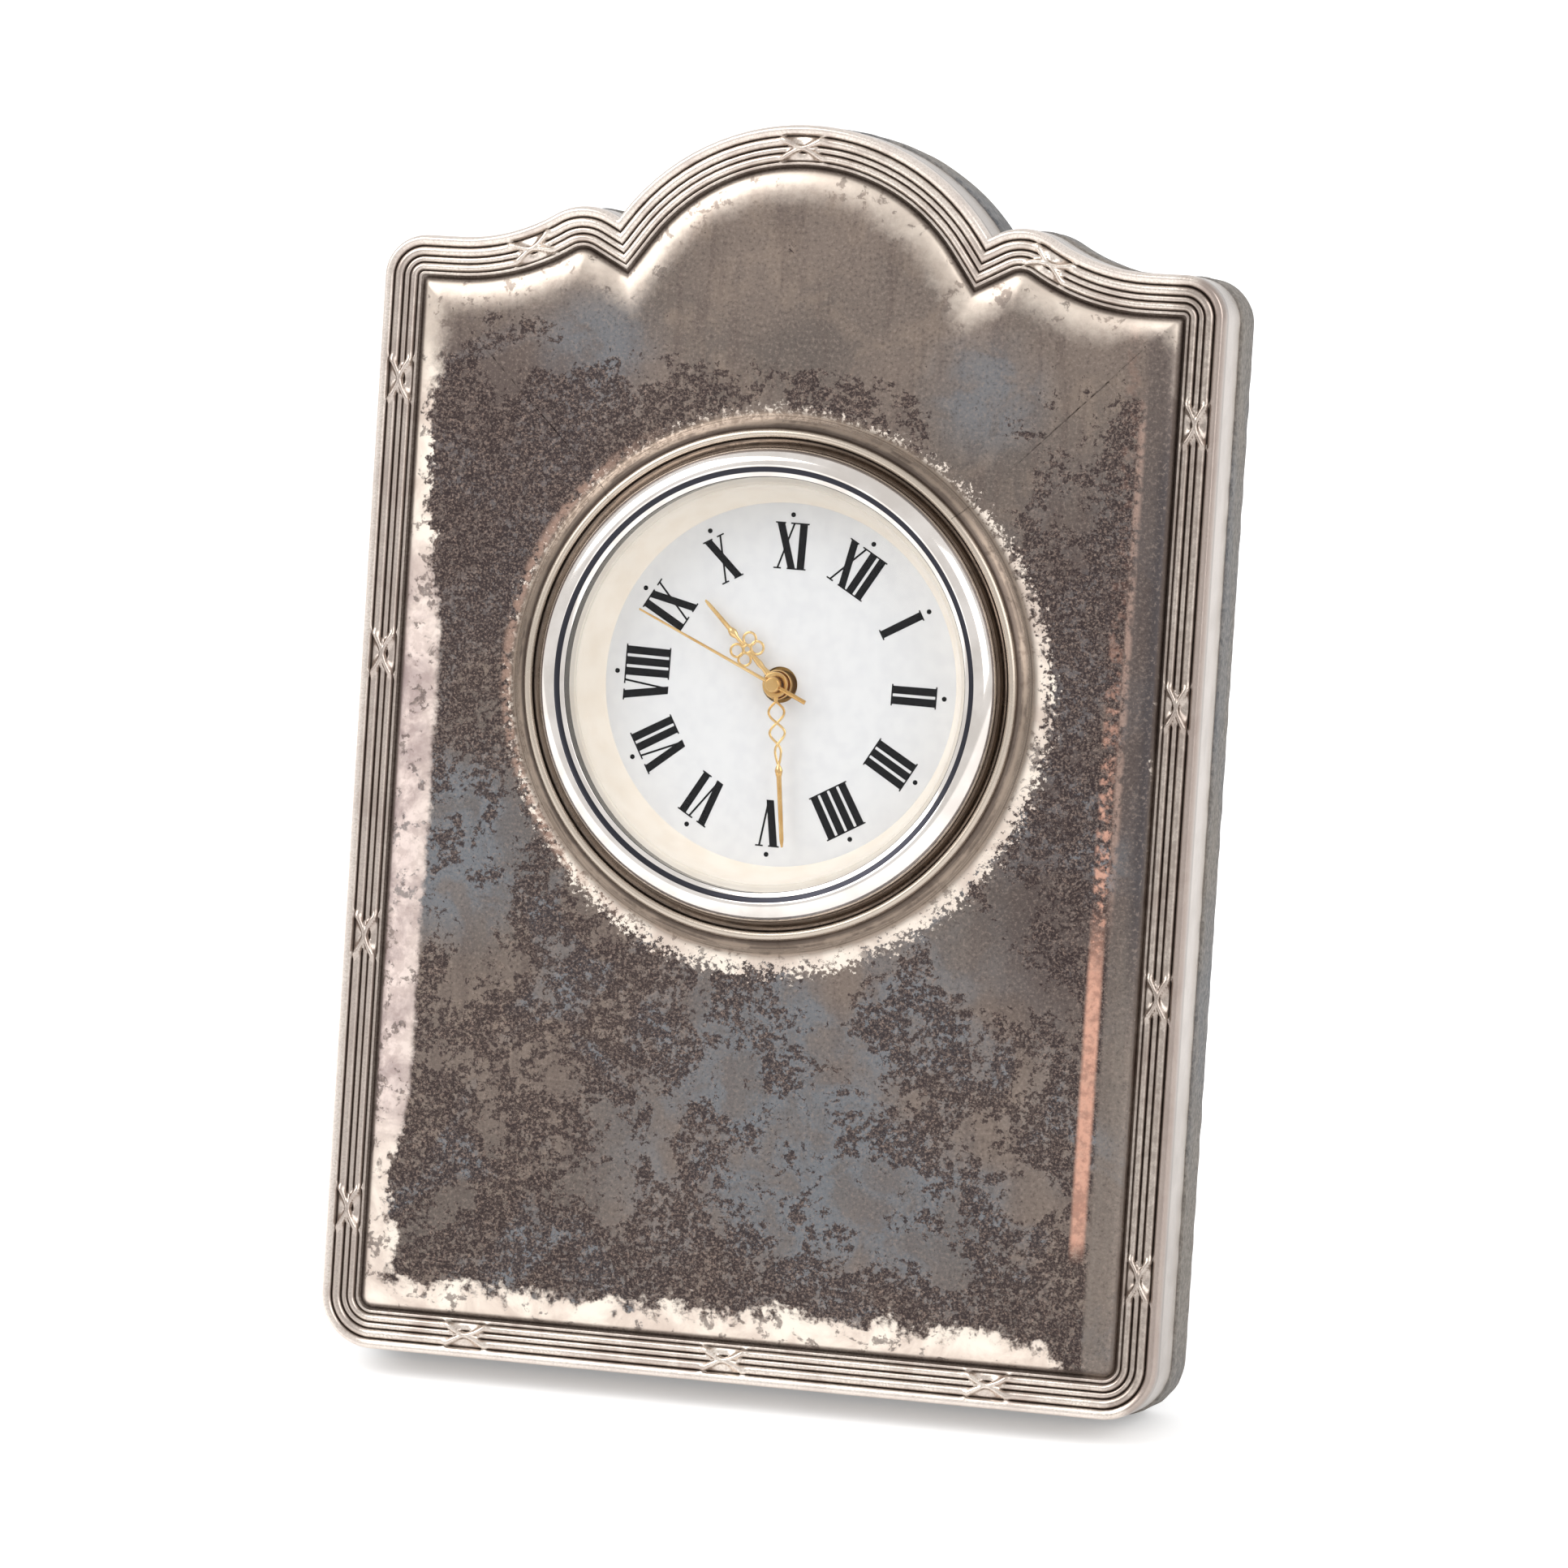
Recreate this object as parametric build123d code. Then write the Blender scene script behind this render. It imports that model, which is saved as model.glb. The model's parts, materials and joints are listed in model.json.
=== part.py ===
"""Easel clock: a pressed silver front on a velvet-backed board, with a quartz clock insert."""
from build123d import *
import os
from math import acos, atan2, cos, degrees, hypot, radians, sin, sqrt

# The face frame: X to the right, Y up along the leaning face, Z out of the face. Millimetres.

# Silver front outline
WIDTH = 67.0
SHOULDER = 86.9          # height of the flat shoulders
ARCH_TOP = 96.8          # height of the central arch
ARCH_RADIUS = 17.9
SHOULDER_FLAT = 6.0      # from the side to where the shoulder starts to rise
COVE_RUN = 10.1          # from there to the middle of the small bump beside the arch
BUMP_TOP = 89.75
BUMP_RADIUS = 4.8
TOP_CORNER = 3.3
FOOT_CORNER = 4.2
VALLEY_LEAD = 0.5        # straight stretch each side of the mitre between bump and arch
LEAST_CORNER = 0.3

# Pressed relief of the silver front
SHEET = 0.45
FLANGE_DEPTH = 4.0
LIP_WIDTH = 0.8
LIP_DROP = 0.9           # how far the lip rolls over on to the flange
OUTER_REED = 0.5
MIDDLE_REED = 0.75
INNER_REED = 0.5
REED_HEIGHT = 0.5
GROOVE_WIDTH = 0.6
GROOVE_DEPTH = 1.1
PILLOW_WIDTH = 1.9       # rounded edge of the raised field
FIELD = 0.3              # level of the flat field

# Collar pressed round the clock
COLLAR_RADIUS = 21.1
BEAD_RADIUS = 19.35
COLLAR_RISE = 1.2
SEAT_RISE = 0.6          # level of the bezel's seat above the field

# Boards and velvet behind the silver
CLOCK_HEIGHT = 53.9
HOLE_RADIUS = 17.4
BACK_DEPTH = 6.4
VELVET = 0.6
VELVET_PROUD = 0.15
BACK_EDGE = 0.8
BOARD_FIT = 0.1

# Clock insert
BEZEL_RADIUS = 18.25
BEZEL_LIP = 0.5
LIP_RADIUS = 15.9
RING_WALL = 1.1
RING_FIT = 0.05
CASE_WALL = 0.7
RIM_RISE = 0.5           # case rim above the bezel's seat
LENS_THICK = 1.2
GASKET_WIDTH = 0.35
REHAUT_HEIGHT = 3.5
REHAUT_FOOT = 14.0       # visible dial radius
DIAL_THICK = 0.4
MOTION_SPACE = 1.45
PLATE_THICK = 0.7
TRAIN_SPACE = 2.95
BRIDGE_THICK = 0.6
COVER_SPACE = 0.6
COVER_THICK = 0.6
LEDGE = 0.6
INSERT_TURN = -31.0      # the insert sits turned in its hole
HUB_RADIUS = 1.06

# Gear train: teeth, modules and levels
MODULE = 0.22            # motion work, third wheel and second pinion
SECOND_MODULE = 0.24
ROTOR_MODULE = 0.20
SECOND_TEETH = 40
SECOND_PINION = 6
IDLER_TEETH = 36
IDLER_PINION = 8
ROTOR_TEETH = 6
THIRD_TEETH = 45
THIRD_PINION = 6
CENTRE_TEETH = 48
CANNON_TEETH = 10
MINUTE_TEETH = 30
MINUTE_PINION = 8
HOUR_TEETH = 32
SET_TEETH = 15
WHEEL_THICK = 0.35
LEVEL_STEP = 0.68
FIRST_LEVEL = 0.2        # from the plate to the nearest wheel
TRAIN_FIT = 0.06
ARBOR = 0.25
THIRD_AT = 200.0         # directions of the arbors from the clock's centre, in degrees
IDLER_AT = 320.0
MINUTE_AT = 90.0
SET_AT = 60.0            # from the minute wheel
CENTRE_TUBE = 0.5        # outside radii of the nested tubes
CANNON_TUBE = 0.8
HOUR_TUBE = 1.1

# Hands
HAND_THICK = 0.2
HAND_STEP = 0.6
HOUR_LENGTH = 8.7
MINUTE_LENGTH = 12.5
SECOND_LENGTH = 12.2
SECOND_TAIL = 2.9
HOUR_ANGLE = 283.7       # clockwise from the dial's twelve
MINUTE_ANGLE = 142.8
SECOND_ANGLE = 263.8

# Drive and power
MAGNET_RADIUS = 1.1
STATOR_THICK = 0.5
STATOR_GAP = 0.3
STATOR_BAND = 1.0
COIL_RADIUS = 0.85
COIL_LENGTH = 9.0
COIL_Y = -11.5
CORE_SIZE = 0.6
BATTERY_RADIUS = 3.4
BATTERY_THICK = 2.6
BATTERY_AT = 140.0
BATTERY_REACH = 11.0
CONTACT_THICK = 0.2
BOARD_THICK = 0.4
CAN_RADIUS = 0.8
CAN_LENGTH = 5.0
PILLAR_REACH = 13.3
PILLAR_RADIUS = 1.0
PILLAR_AT = (50.0, 190.0, 335.0)
SCREW_HEAD = 0.8
SCREW_SHANK = 0.45
KNOB_RADIUS = 2.9
KNOB_HEIGHT = 1.1
KNOB_GAP = 0.2
KNOB_FLUTES = 16
SET_SHAFT = 0.5
HATCH_RADIUS = 3.9
HATCH_LUG = 0.5
LUG_WIDTH = 2.0
COIN_SLOT = 1.0

# Lean and strut
LEAN = 13.3
HINGE_HEIGHT = 30.2
STRUT_REACH = 7.0        # how far the foot stands behind the hinge
STRUT_TOP = 20.0
STRUT_FOOT = 27.0
STRUT_THICK = 2.6
KNUCKLE = 1.0
KNUCKLE_CLEAR = 0.12
PIN_RADIUS = 0.5
PIN_FIT = 0.05
LEAF_THICK = 0.45
LEAF_HEIGHT = 5.2
HINGE_WIDTH = 15.0
KNUCKLE_GAP = 0.1
RIVET_RADIUS = 0.9
RIVET_RISE = 0.3
RIVET_SPREAD = 4.5

# Places along the shoulders
COVE_X = WIDTH / 2 - SHOULDER_FLAT
BUMP_X = COVE_X - COVE_RUN

# Levels along the insert's axis, from the front to the back
SEAT = FIELD + SEAT_RISE
RIM = SEAT + RIM_RISE
LENS_TOP = RIM + LENS_THICK
DIAL_TOP = RIM - REHAUT_HEIGHT
DIAL_BACK = DIAL_TOP - DIAL_THICK
PLATE_FRONT = DIAL_BACK - MOTION_SPACE
PLATE_BACK = PLATE_FRONT - PLATE_THICK
BRIDGE_FRONT = PLATE_BACK - TRAIN_SPACE
BRIDGE_BACK = BRIDGE_FRONT - BRIDGE_THICK
COVER_FRONT = BRIDGE_BACK - COVER_SPACE
COVER_BACK = COVER_FRONT - COVER_THICK
BACK_FACE = -FLANGE_DEPTH - BACK_DEPTH

# Radii of the insert
RING_OUT = HOLE_RADIUS - RING_FIT
RING_IN = RING_OUT - RING_WALL
CASE_OUT = RING_IN - RING_FIT
CASE_IN = CASE_OUT - CASE_WALL
INSIDE = CASE_IN - RING_FIT      # radius of what drops into the case


def outline(inset):
    """Closed outline of the front, set in by a distance, with mitred valleys."""
    half = WIDTH / 2 - inset
    foot = max(FOOT_CORNER - inset, LEAST_CORNER)
    top = max(TOP_CORNER - inset, LEAST_CORNER)
    shoulder = SHOULDER - inset
    rise = SHOULDER - BUMP_TOP + BUMP_RADIUS
    reach = COVE_X - BUMP_X
    cove = (rise**2 + reach**2 - BUMP_RADIUS**2) / (2 * (BUMP_RADIUS - rise))
    bump_at = (BUMP_X, BUMP_TOP - BUMP_RADIUS)
    cove_at = (COVE_X, SHOULDER + cove)
    arch_at = (0, ARCH_TOP - ARCH_RADIUS)
    bump_out = BUMP_RADIUS + VALLEY_LEAD
    arch_out = ARCH_RADIUS + VALLEY_LEAD
    apart = hypot(bump_at[0] - arch_at[0], bump_at[1] - arch_at[1])
    toward = degrees(atan2(bump_at[1] - arch_at[1], bump_at[0] - arch_at[0]))
    at_arch = degrees(acos((arch_out**2 + apart**2 - bump_out**2) / (2 * arch_out * apart)))
    arch_end = toward + at_arch
    valley = on_circle(arch_at, arch_out, arch_end)
    bump_end = degrees(atan2(valley[1] - bump_at[1], valley[0] - bump_at[0]))
    turn = radians(bump_end - arch_end) / 2
    middle = radians((bump_end + arch_end) / 2)
    mitre = (inset + VALLEY_LEAD) / cos(turn)
    notch = (valley[0] - mitre * cos(middle), valley[1] - mitre * sin(middle))
    arch = ARCH_RADIUS - inset
    bump = max(BUMP_RADIUS - inset, LEAST_CORNER)
    slope = (cos(radians(bump_end)), sin(radians(bump_end)))
    depth = inset + VALLEY_LEAD + bump
    away = (valley[0] - slope[0] * depth - cove_at[0], valley[1] - slope[1] * depth - cove_at[1])
    along = away[0] * slope[1] - away[1] * slope[0]
    slide = -along - sqrt(along**2 - away[0]**2 - away[1]**2 + (cove + inset + bump)**2)
    bump_at = (cove_at[0] + away[0] + slide * slope[1], cove_at[1] + away[1] - slide * slope[0])
    start = degrees(atan2(cove_at[1] - bump_at[1], cove_at[0] - bump_at[0]))
    right = [
        corner_arc((half - foot, inset + foot), foot, -90, 0),
        Line((half, inset + foot), (half, shoulder - top)),
        corner_arc((half - top, shoulder - top), top, 0, 90),
        Line((half - top, shoulder), (COVE_X, shoulder)),
        corner_arc(cove_at, cove + inset, 270, 180 + start),
        corner_arc(bump_at, bump, start, bump_end),
        Line(on_circle(bump_at, bump, bump_end), notch),
        Line(notch, on_circle(arch_at, arch, arch_end)),
    ]
    left = [edge.mirror(Plane.YZ) for edge in right]
    base = Line((foot - half, inset), (half - foot, inset))
    crown = corner_arc(arch_at, arch, arch_end, 180 - arch_end)
    return Wire([base, *right, crown, *reversed(left)])


def on_circle(centre, radius, angle):
    """Point on a circle at an angle in degrees."""
    return centre[0] + radius * cos(radians(angle)), centre[1] + radius * sin(radians(angle))


def corner_arc(centre, radius, start, end):
    """Arc about a centre from one angle to another, in degrees."""
    middle = (start + end) / 2
    return ThreePointArc(*(on_circle(centre, radius, angle) for angle in (start, middle, end)))


def slab(inset, low, high):
    """Plate with the front's outline between two levels."""
    return extrude(Pos(0, 0, low) * Face(outline(inset)), high - low)


def stack(sections):
    """Solid through outlines given as (inset, level), with straight walls between."""
    return loft([Pos(0, 0, level) * Face(outline(inset)) for inset, level in sections], ruled=True)


def clock(shape):
    """Move a shape from the clock's axis to its place on the face."""
    return Pos(0, CLOCK_HEIGHT, 0) * shape


def disc(radius, low, high, at=(0, 0)):
    """Round plate between two levels."""
    return Pos(at[0], at[1], low) * extrude(Circle(radius), high - low)


def ring(outer, inner, low, high, at=(0, 0)):
    """Round washer between two levels."""
    return Pos(at[0], at[1], low) * extrude(Circle(outer) - Circle(inner), high - low)


def turned(points):
    """Solid turned about the clock's axis from a closed outline of (radius, level) points."""
    return revolve(Plane.XZ * make_face(Polyline(*points, close=True)), Axis.Z)


def reed(start, width, crest):
    """Reed across the border: its near foot and the points of its crest, as shares of its width."""
    top = [(start + width * along, 0) for along in crest]
    return [(start, -REED_HEIGHT), *top]


def border():
    """Relief of the front from the flange to the flat field, as (inset, level)."""
    outer = LIP_WIDTH
    middle = outer + OUTER_REED
    inner = middle + MIDDLE_REED
    groove = inner + INNER_REED
    field = groove + GROOVE_WIDTH
    lip = [(0, -FLANGE_DEPTH), (0, -LIP_DROP), (0.4 * LIP_WIDTH, 0)]
    ridge = (0.5,)
    crown = (0.3, 0.7)
    reeds = reed(outer, OUTER_REED, ridge) + reed(middle, MIDDLE_REED, crown) + reed(inner, INNER_REED, ridge)
    pillow = []
    for angle in (0, 35, 90):
        inset = field + PILLOW_WIDTH * (1 - cos(radians(angle)))
        pillow.append((inset, -GROOVE_DEPTH + (FIELD + GROOVE_DEPTH) * sin(radians(angle))))
    return lip + reeds + [(groove, -REED_HEIGHT)] + pillow


def silver_front():
    """Pressed sheet: flange, reeded border, raised field and the collar round the clock."""
    relief = border()
    field_inset = relief[-3][0] + SHEET
    bed_back = -GROOVE_DEPTH - SHEET
    body = stack(relief) - slab(SHEET, -FLANGE_DEPTH, bed_back)
    body -= slab(field_inset + SHEET, bed_back, FIELD - SHEET)
    body -= clock(disc(COLLAR_RADIUS - SHEET, FIELD - SHEET, FIELD))
    crest = FIELD + COLLAR_RISE
    wall = BEZEL_RADIUS + LEAST_CORNER
    back = FIELD - SHEET
    ease = BEAD_RADIUS + (COLLAR_RADIUS - BEAD_RADIUS) / 2
    profile = [
        Line((HOLE_RADIUS, back), (COLLAR_RADIUS, back)),
        Line((COLLAR_RADIUS, back), (COLLAR_RADIUS, FIELD)),
        Line((COLLAR_RADIUS, FIELD), (ease, FIELD + 0.35 * COLLAR_RISE)),
        ThreePointArc((ease, FIELD + 0.35 * COLLAR_RISE), (BEAD_RADIUS, crest), (wall, SEAT)),
        Line((wall, SEAT), (HOLE_RADIUS, SEAT)),
        Line((HOLE_RADIUS, SEAT), (HOLE_RADIUS, back)),
    ]
    return body + clock(revolve(Plane.XZ * make_face(profile), Axis.Z))


def filler_board():
    """Board that fills the hollow of the pressed front."""
    field_inset = border()[-3][0] + 2 * SHEET
    bed_back = -GROOVE_DEPTH - SHEET
    body = slab(SHEET + BOARD_FIT, -FLANGE_DEPTH, bed_back)
    body += slab(field_inset + BOARD_FIT, bed_back, FIELD - SHEET)
    return body - clock(disc(HOLE_RADIUS, -FLANGE_DEPTH, FIELD - SHEET))


def back_velvet():
    """Velvet skin round the edge and over the rear of the back board."""
    edge = -VELVET_PROUD
    skin = stack([(edge, BACK_FACE + BACK_EDGE), (edge, -FLANGE_DEPTH)])
    skin += stack([(edge + BACK_EDGE, BACK_FACE), (edge, BACK_FACE + BACK_EDGE)])
    skin -= slab(VELVET - VELVET_PROUD, BACK_FACE + VELVET, -FLANGE_DEPTH)
    return skin - clock(disc(HOLE_RADIUS, BACK_FACE, -FLANGE_DEPTH))


def back_board():
    """Board inside the velvet."""
    body = slab(VELVET - VELVET_PROUD + BOARD_FIT, BACK_FACE + VELVET, -FLANGE_DEPTH)
    return body - clock(disc(HOLE_RADIUS, BACK_FACE + VELVET, -FLANGE_DEPTH))


def bezel():
    """Polished ring that clips over the case rim and holds the lens."""
    top = LENS_TOP + BEZEL_LIP
    inner = CASE_OUT + RING_FIT
    ease = LEAST_CORNER
    crown = (BEZEL_RADIUS + LIP_RADIUS) / 2
    shoulder = (BEZEL_RADIUS - ease, SEAT + 0.75 * (top - SEAT))
    profile = [
        Line((inner, SEAT), (BEZEL_RADIUS - ease, SEAT)),
        Line((BEZEL_RADIUS - ease, SEAT), (BEZEL_RADIUS, SEAT + ease)),
        ThreePointArc((BEZEL_RADIUS, SEAT + ease), shoulder, (crown, top)),
        Line((crown, top), (LIP_RADIUS + BEZEL_LIP, top)),
        Line((LIP_RADIUS + BEZEL_LIP, top), (LIP_RADIUS, LENS_TOP)),
        Line((LIP_RADIUS, LENS_TOP), (inner, LENS_TOP)),
        Line((inner, LENS_TOP), (inner, SEAT)),
    ]
    return revolve(Plane.XZ * make_face(profile), Axis.Z)


def rehaut_ring():
    """Cream ring that slopes from the lens down to the dial."""
    foot = (REHAUT_FOOT, DIAL_TOP)
    return turned([foot, (INSIDE, DIAL_TOP), (INSIDE, RIM), (INSIDE - LEAST_CORNER / 2, RIM)])


def grip_ring():
    """Soft ring, grooved outside, that holds the clock in its hole by friction."""
    top = SEAT - LEAST_CORNER
    body = ring(RING_OUT, RING_IN, COVER_FRONT, top)
    grooves = 1
    pitch = (top - COVER_FRONT) / (grooves + 1)
    for number in range(1, grooves + 1):
        level = COVER_FRONT + number * pitch
        body -= ring(RING_OUT + RING_FIT, RING_OUT - LEAST_CORNER, level - pitch / 4, level + pitch / 4)
    return body


def polar(reach, angle):
    """Place at a distance and direction from the clock's axis."""
    return on_circle((0, 0), reach, angle)


# Distances between arbors and their places on the plate
SECOND_TO_IDLER = SECOND_MODULE * (SECOND_TEETH + IDLER_PINION) / 2
IDLER_TO_ROTOR = ROTOR_MODULE * (IDLER_TEETH + ROTOR_TEETH) / 2
SECOND_TO_THIRD = MODULE * (THIRD_TEETH + SECOND_PINION) / 2
CENTRE_MODULE = 2 * SECOND_TO_THIRD / (CENTRE_TEETH + THIRD_PINION)
CANNON_TO_MINUTE = MODULE * (CANNON_TEETH + MINUTE_TEETH) / 2
HOUR_MODULE = 2 * CANNON_TO_MINUTE / (HOUR_TEETH + MINUTE_PINION)
MINUTE_TO_SET = MODULE * (MINUTE_TEETH + SET_TEETH) / 2
CENTRE = (0.0, 0.0)
THIRD = polar(SECOND_TO_THIRD, THIRD_AT)
IDLER = polar(SECOND_TO_IDLER, IDLER_AT)
ROTOR = on_circle(IDLER, IDLER_TO_ROTOR, IDLER_AT)
MINUTE = polar(CANNON_TO_MINUTE, MINUTE_AT)
SETTER = on_circle(MINUTE, MINUTE_TO_SET, SET_AT)
BATTERY = polar(BATTERY_REACH, BATTERY_AT)


def train_level(number):
    """Low and high face of a wheel in the going train, counted from the plate."""
    high = PLATE_BACK - FIRST_LEVEL - number * LEVEL_STEP
    return high - WHEEL_THICK, high


def motion_level(number):
    """Low and high face of a wheel in the motion work, counted from the plate."""
    low = PLATE_FRONT + FIRST_LEVEL / 2 + number * (WHEEL_THICK + FIRST_LEVEL)
    return low, low + WHEEL_THICK


def gear(teeth, module, level, at, tooth_at):
    """Spur gear with straight-flanked teeth, one tooth pointing at an angle."""
    pitch = 360 / teeth
    radius = module * teeth / 2
    shape = ((-0.27, -1.25), (-0.11, 0.8), (0.11, 0.8), (0.27, -1.25))
    rim = []
    for tooth in range(teeth):
        middle = tooth_at + tooth * pitch
        rim += [polar(radius + module * up, middle + pitch * along) for along, up in shape]
    low, high = level
    return Pos(at[0], at[1], low) * extrude(make_face(Polyline(*rim, close=True)), high - low)


def mesh(tooth_at, teeth, other_teeth, line):
    """Angle of a tooth on a gear that meshes with one whose tooth is at an angle, along a line."""
    pitch = 360 / teeth
    share = ((tooth_at - line) % pitch) / pitch
    return line + 180 + 360 / other_teeth * (0.5 - share)


# Angles of one tooth on each gear, so that every pair is in mesh
SECOND_TOOTH = 0.0
IDLER_PINION_TOOTH = mesh(SECOND_TOOTH, SECOND_TEETH, IDLER_PINION, IDLER_AT)
IDLER_TOOTH = 0.0
ROTOR_TOOTH = mesh(IDLER_TOOTH, IDLER_TEETH, ROTOR_TEETH, IDLER_AT)
THIRD_TOOTH = mesh(SECOND_TOOTH, SECOND_PINION, THIRD_TEETH, THIRD_AT)
CENTRE_TOOTH = 0.0
THIRD_PINION_TOOTH = mesh(CENTRE_TOOTH, CENTRE_TEETH, THIRD_PINION, THIRD_AT)
CANNON_TOOTH = 0.0
MINUTE_TOOTH = mesh(CANNON_TOOTH, CANNON_TEETH, MINUTE_TEETH, MINUTE_AT)
HOUR_TOOTH = 0.0
MINUTE_PINION_TOOTH = mesh(HOUR_TOOTH, HOUR_TEETH, MINUTE_PINION, MINUTE_AT)
SET_TOOTH = mesh(MINUTE_TOOTH, MINUTE_TEETH, SET_TEETH, SET_AT)

# Levels of the hands above the dial
HOUR_HAND = DIAL_TOP + HAND_STEP
MINUTE_HAND = HOUR_HAND + HAND_STEP
SECOND_HAND = MINUTE_HAND + HAND_STEP


def arbor(at):
    """Shaft that runs in the bridge and the plate."""
    return disc(ARBOR, BRIDGE_BACK + TRAIN_FIT, PLATE_FRONT - TRAIN_FIT, at)


def second_wheel():
    """Wheel and pinion on the long arbor that carries the second hand."""
    body = disc(ARBOR, BRIDGE_BACK + TRAIN_FIT, SECOND_HAND)
    body += gear(SECOND_TEETH, SECOND_MODULE, train_level(2), CENTRE, SECOND_TOOTH)
    return body + gear(SECOND_PINION, MODULE, train_level(1), CENTRE, SECOND_TOOTH)


def idler_wheel():
    """Wheel and pinion between the rotor and the second wheel."""
    body = arbor(IDLER) + gear(IDLER_TEETH, ROTOR_MODULE, train_level(3), IDLER, IDLER_TOOTH)
    return body + gear(IDLER_PINION, SECOND_MODULE, train_level(2), IDLER, IDLER_PINION_TOOTH)


def third_wheel():
    """Wheel and pinion between the second pinion and the centre wheel."""
    body = arbor(THIRD) + gear(THIRD_TEETH, MODULE, train_level(1), THIRD, THIRD_TOOTH)
    return body + gear(THIRD_PINION, CENTRE_MODULE, train_level(0), THIRD, THIRD_PINION_TOOTH)


def centre_wheel():
    """Wheel on the tube that drives the cannon pinion by friction."""
    low, high = train_level(0)
    bore = ARBOR + TRAIN_FIT
    wheel = gear(CENTRE_TEETH, CENTRE_MODULE, (low, high), CENTRE, CENTRE_TOOTH)
    return wheel - disc(bore, low, high) + ring(CENTRE_TUBE, bore, low, MINUTE_HAND)


def cannon_pinion():
    """Pinion and pipe that carry the minute hand."""
    low, high = motion_level(0)
    bore = CENTRE_TUBE + TRAIN_FIT
    pinion = gear(CANNON_TEETH, MODULE, (low, high), CENTRE, CANNON_TOOTH)
    return pinion - disc(bore, low, high) + ring(CANNON_TUBE, bore, low, MINUTE_HAND + HAND_THICK)


def hour_wheel():
    """Wheel and pipe that carry the hour hand."""
    low, high = motion_level(1)
    bore = CANNON_TUBE + TRAIN_FIT
    wheel = gear(HOUR_TEETH, HOUR_MODULE, (low, high), CENTRE, HOUR_TOOTH)
    return wheel - disc(bore, low, high) + ring(HOUR_TUBE, bore, low, HOUR_HAND + HAND_THICK)


def minute_wheel():
    """Wheel and pinion that turn on a stud between the cannon pinion and the hour wheel."""
    low = motion_level(0)[0]
    high = motion_level(1)[1]
    body = gear(MINUTE_TEETH, MODULE, motion_level(0), MINUTE, MINUTE_TOOTH)
    body += gear(MINUTE_PINION, HOUR_MODULE, (low, high), MINUTE, MINUTE_PINION_TOOTH)
    return body - disc(ARBOR + TRAIN_FIT, low, high, MINUTE)


def set_gear():
    """Pinion and shaft from the set knob to the minute wheel."""
    shaft = disc(SET_SHAFT, COVER_BACK - KNOB_GAP, motion_level(0)[1], SETTER)
    return shaft + gear(SET_TEETH, MODULE, motion_level(0), SETTER, SET_TOOTH)


def set_knob():
    """Fluted knob on the back for setting the hands."""
    top = COVER_BACK - KNOB_GAP
    flute = 2 * KNOB_RADIUS / (KNOB_FLUTES + 2)
    return gear(KNOB_FLUTES, flute, (top - KNOB_HEIGHT, top), SETTER, 0)


def rotor():
    """Magnet, pinion and arbor of the stepping motor."""
    low, high = train_level(2)[0], train_level(1)[1]
    body = arbor(ROTOR) + disc(MAGNET_RADIUS, low, high, ROTOR)
    return body + gear(ROTOR_TEETH, ROTOR_MODULE, train_level(3), ROTOR, ROTOR_TOOTH)


STATOR_BACK = (train_level(2)[0] + train_level(1)[1] - STATOR_THICK) / 2
CORE_HALF = COIL_LENGTH / 2 + 2 * CORE_SIZE


def stator():
    """Iron plate with a ring round the rotor and two arms to the ends of the coil's core."""
    eye = MAGNET_RADIUS + STATOR_GAP
    band = eye + STATOR_BAND
    high = STATOR_BACK + STATOR_THICK
    near = (CORE_HALF - CORE_SIZE, COIL_Y)
    far = (-near[0], COIL_Y)
    corner = (far[0], ROTOR[1] - band)
    body = disc(band, STATOR_BACK, high, ROTOR)
    for start, end in ((ROTOR, near), (ROTOR, corner), (corner, far)):
        body += arm(start, end, high)
    return body - disc(eye, STATOR_BACK, high, ROTOR)


def arm(start, end, high):
    """Flat bar with round ends between two points of the stator."""
    slot = SlotCenterToCenter(hypot(end[0] - start[0], end[1] - start[1]), 2 * CORE_SIZE)
    angle = degrees(atan2(end[1] - start[1], end[0] - start[0]))
    middle = ((start[0] + end[0]) / 2, (start[1] + end[1]) / 2)
    return Pos(middle[0], middle[1], STATOR_BACK) * Rot(0, 0, angle) * extrude(slot, high - STATOR_BACK)


def coil_core():
    """Square iron bar through the coil, against the stator's back."""
    return Pos(0, COIL_Y, STATOR_BACK - CORE_SIZE / 2) * Box(2 * CORE_HALF, CORE_SIZE, CORE_SIZE)


def coil():
    """Winding round the core."""
    body = Rot(0, 90, 0) * Cylinder(COIL_RADIUS, COIL_LENGTH) - Box(COIL_LENGTH, CORE_SIZE, CORE_SIZE)
    return Pos(0, COIL_Y, STATOR_BACK - CORE_SIZE / 2) * body


def main_plate():
    """Plate that carries the train, with a rim under the dial and pillars for the bridge."""
    body = disc(INSIDE, PLATE_BACK, PLATE_FRONT) + ring(INSIDE, INSIDE - CASE_WALL, PLATE_FRONT, DIAL_BACK)
    body += disc(ARBOR, PLATE_FRONT, motion_level(1)[1], MINUTE)
    for angle in PILLAR_AT:
        at = polar(PILLAR_REACH, angle)
        body += disc(PILLAR_RADIUS, BRIDGE_FRONT, PLATE_BACK, at)
        body -= disc(SCREW_SHANK, BRIDGE_FRONT, PLATE_BACK, at)
    body -= disc(CENTRE_TUBE + TRAIN_FIT, PLATE_BACK, PLATE_FRONT)
    body -= disc(SET_SHAFT + TRAIN_FIT, PLATE_BACK, PLATE_FRONT, SETTER)
    for at in (THIRD, IDLER, ROTOR):
        body -= disc(ARBOR + TRAIN_FIT, PLATE_BACK, PLATE_FRONT, at)
    return body


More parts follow.
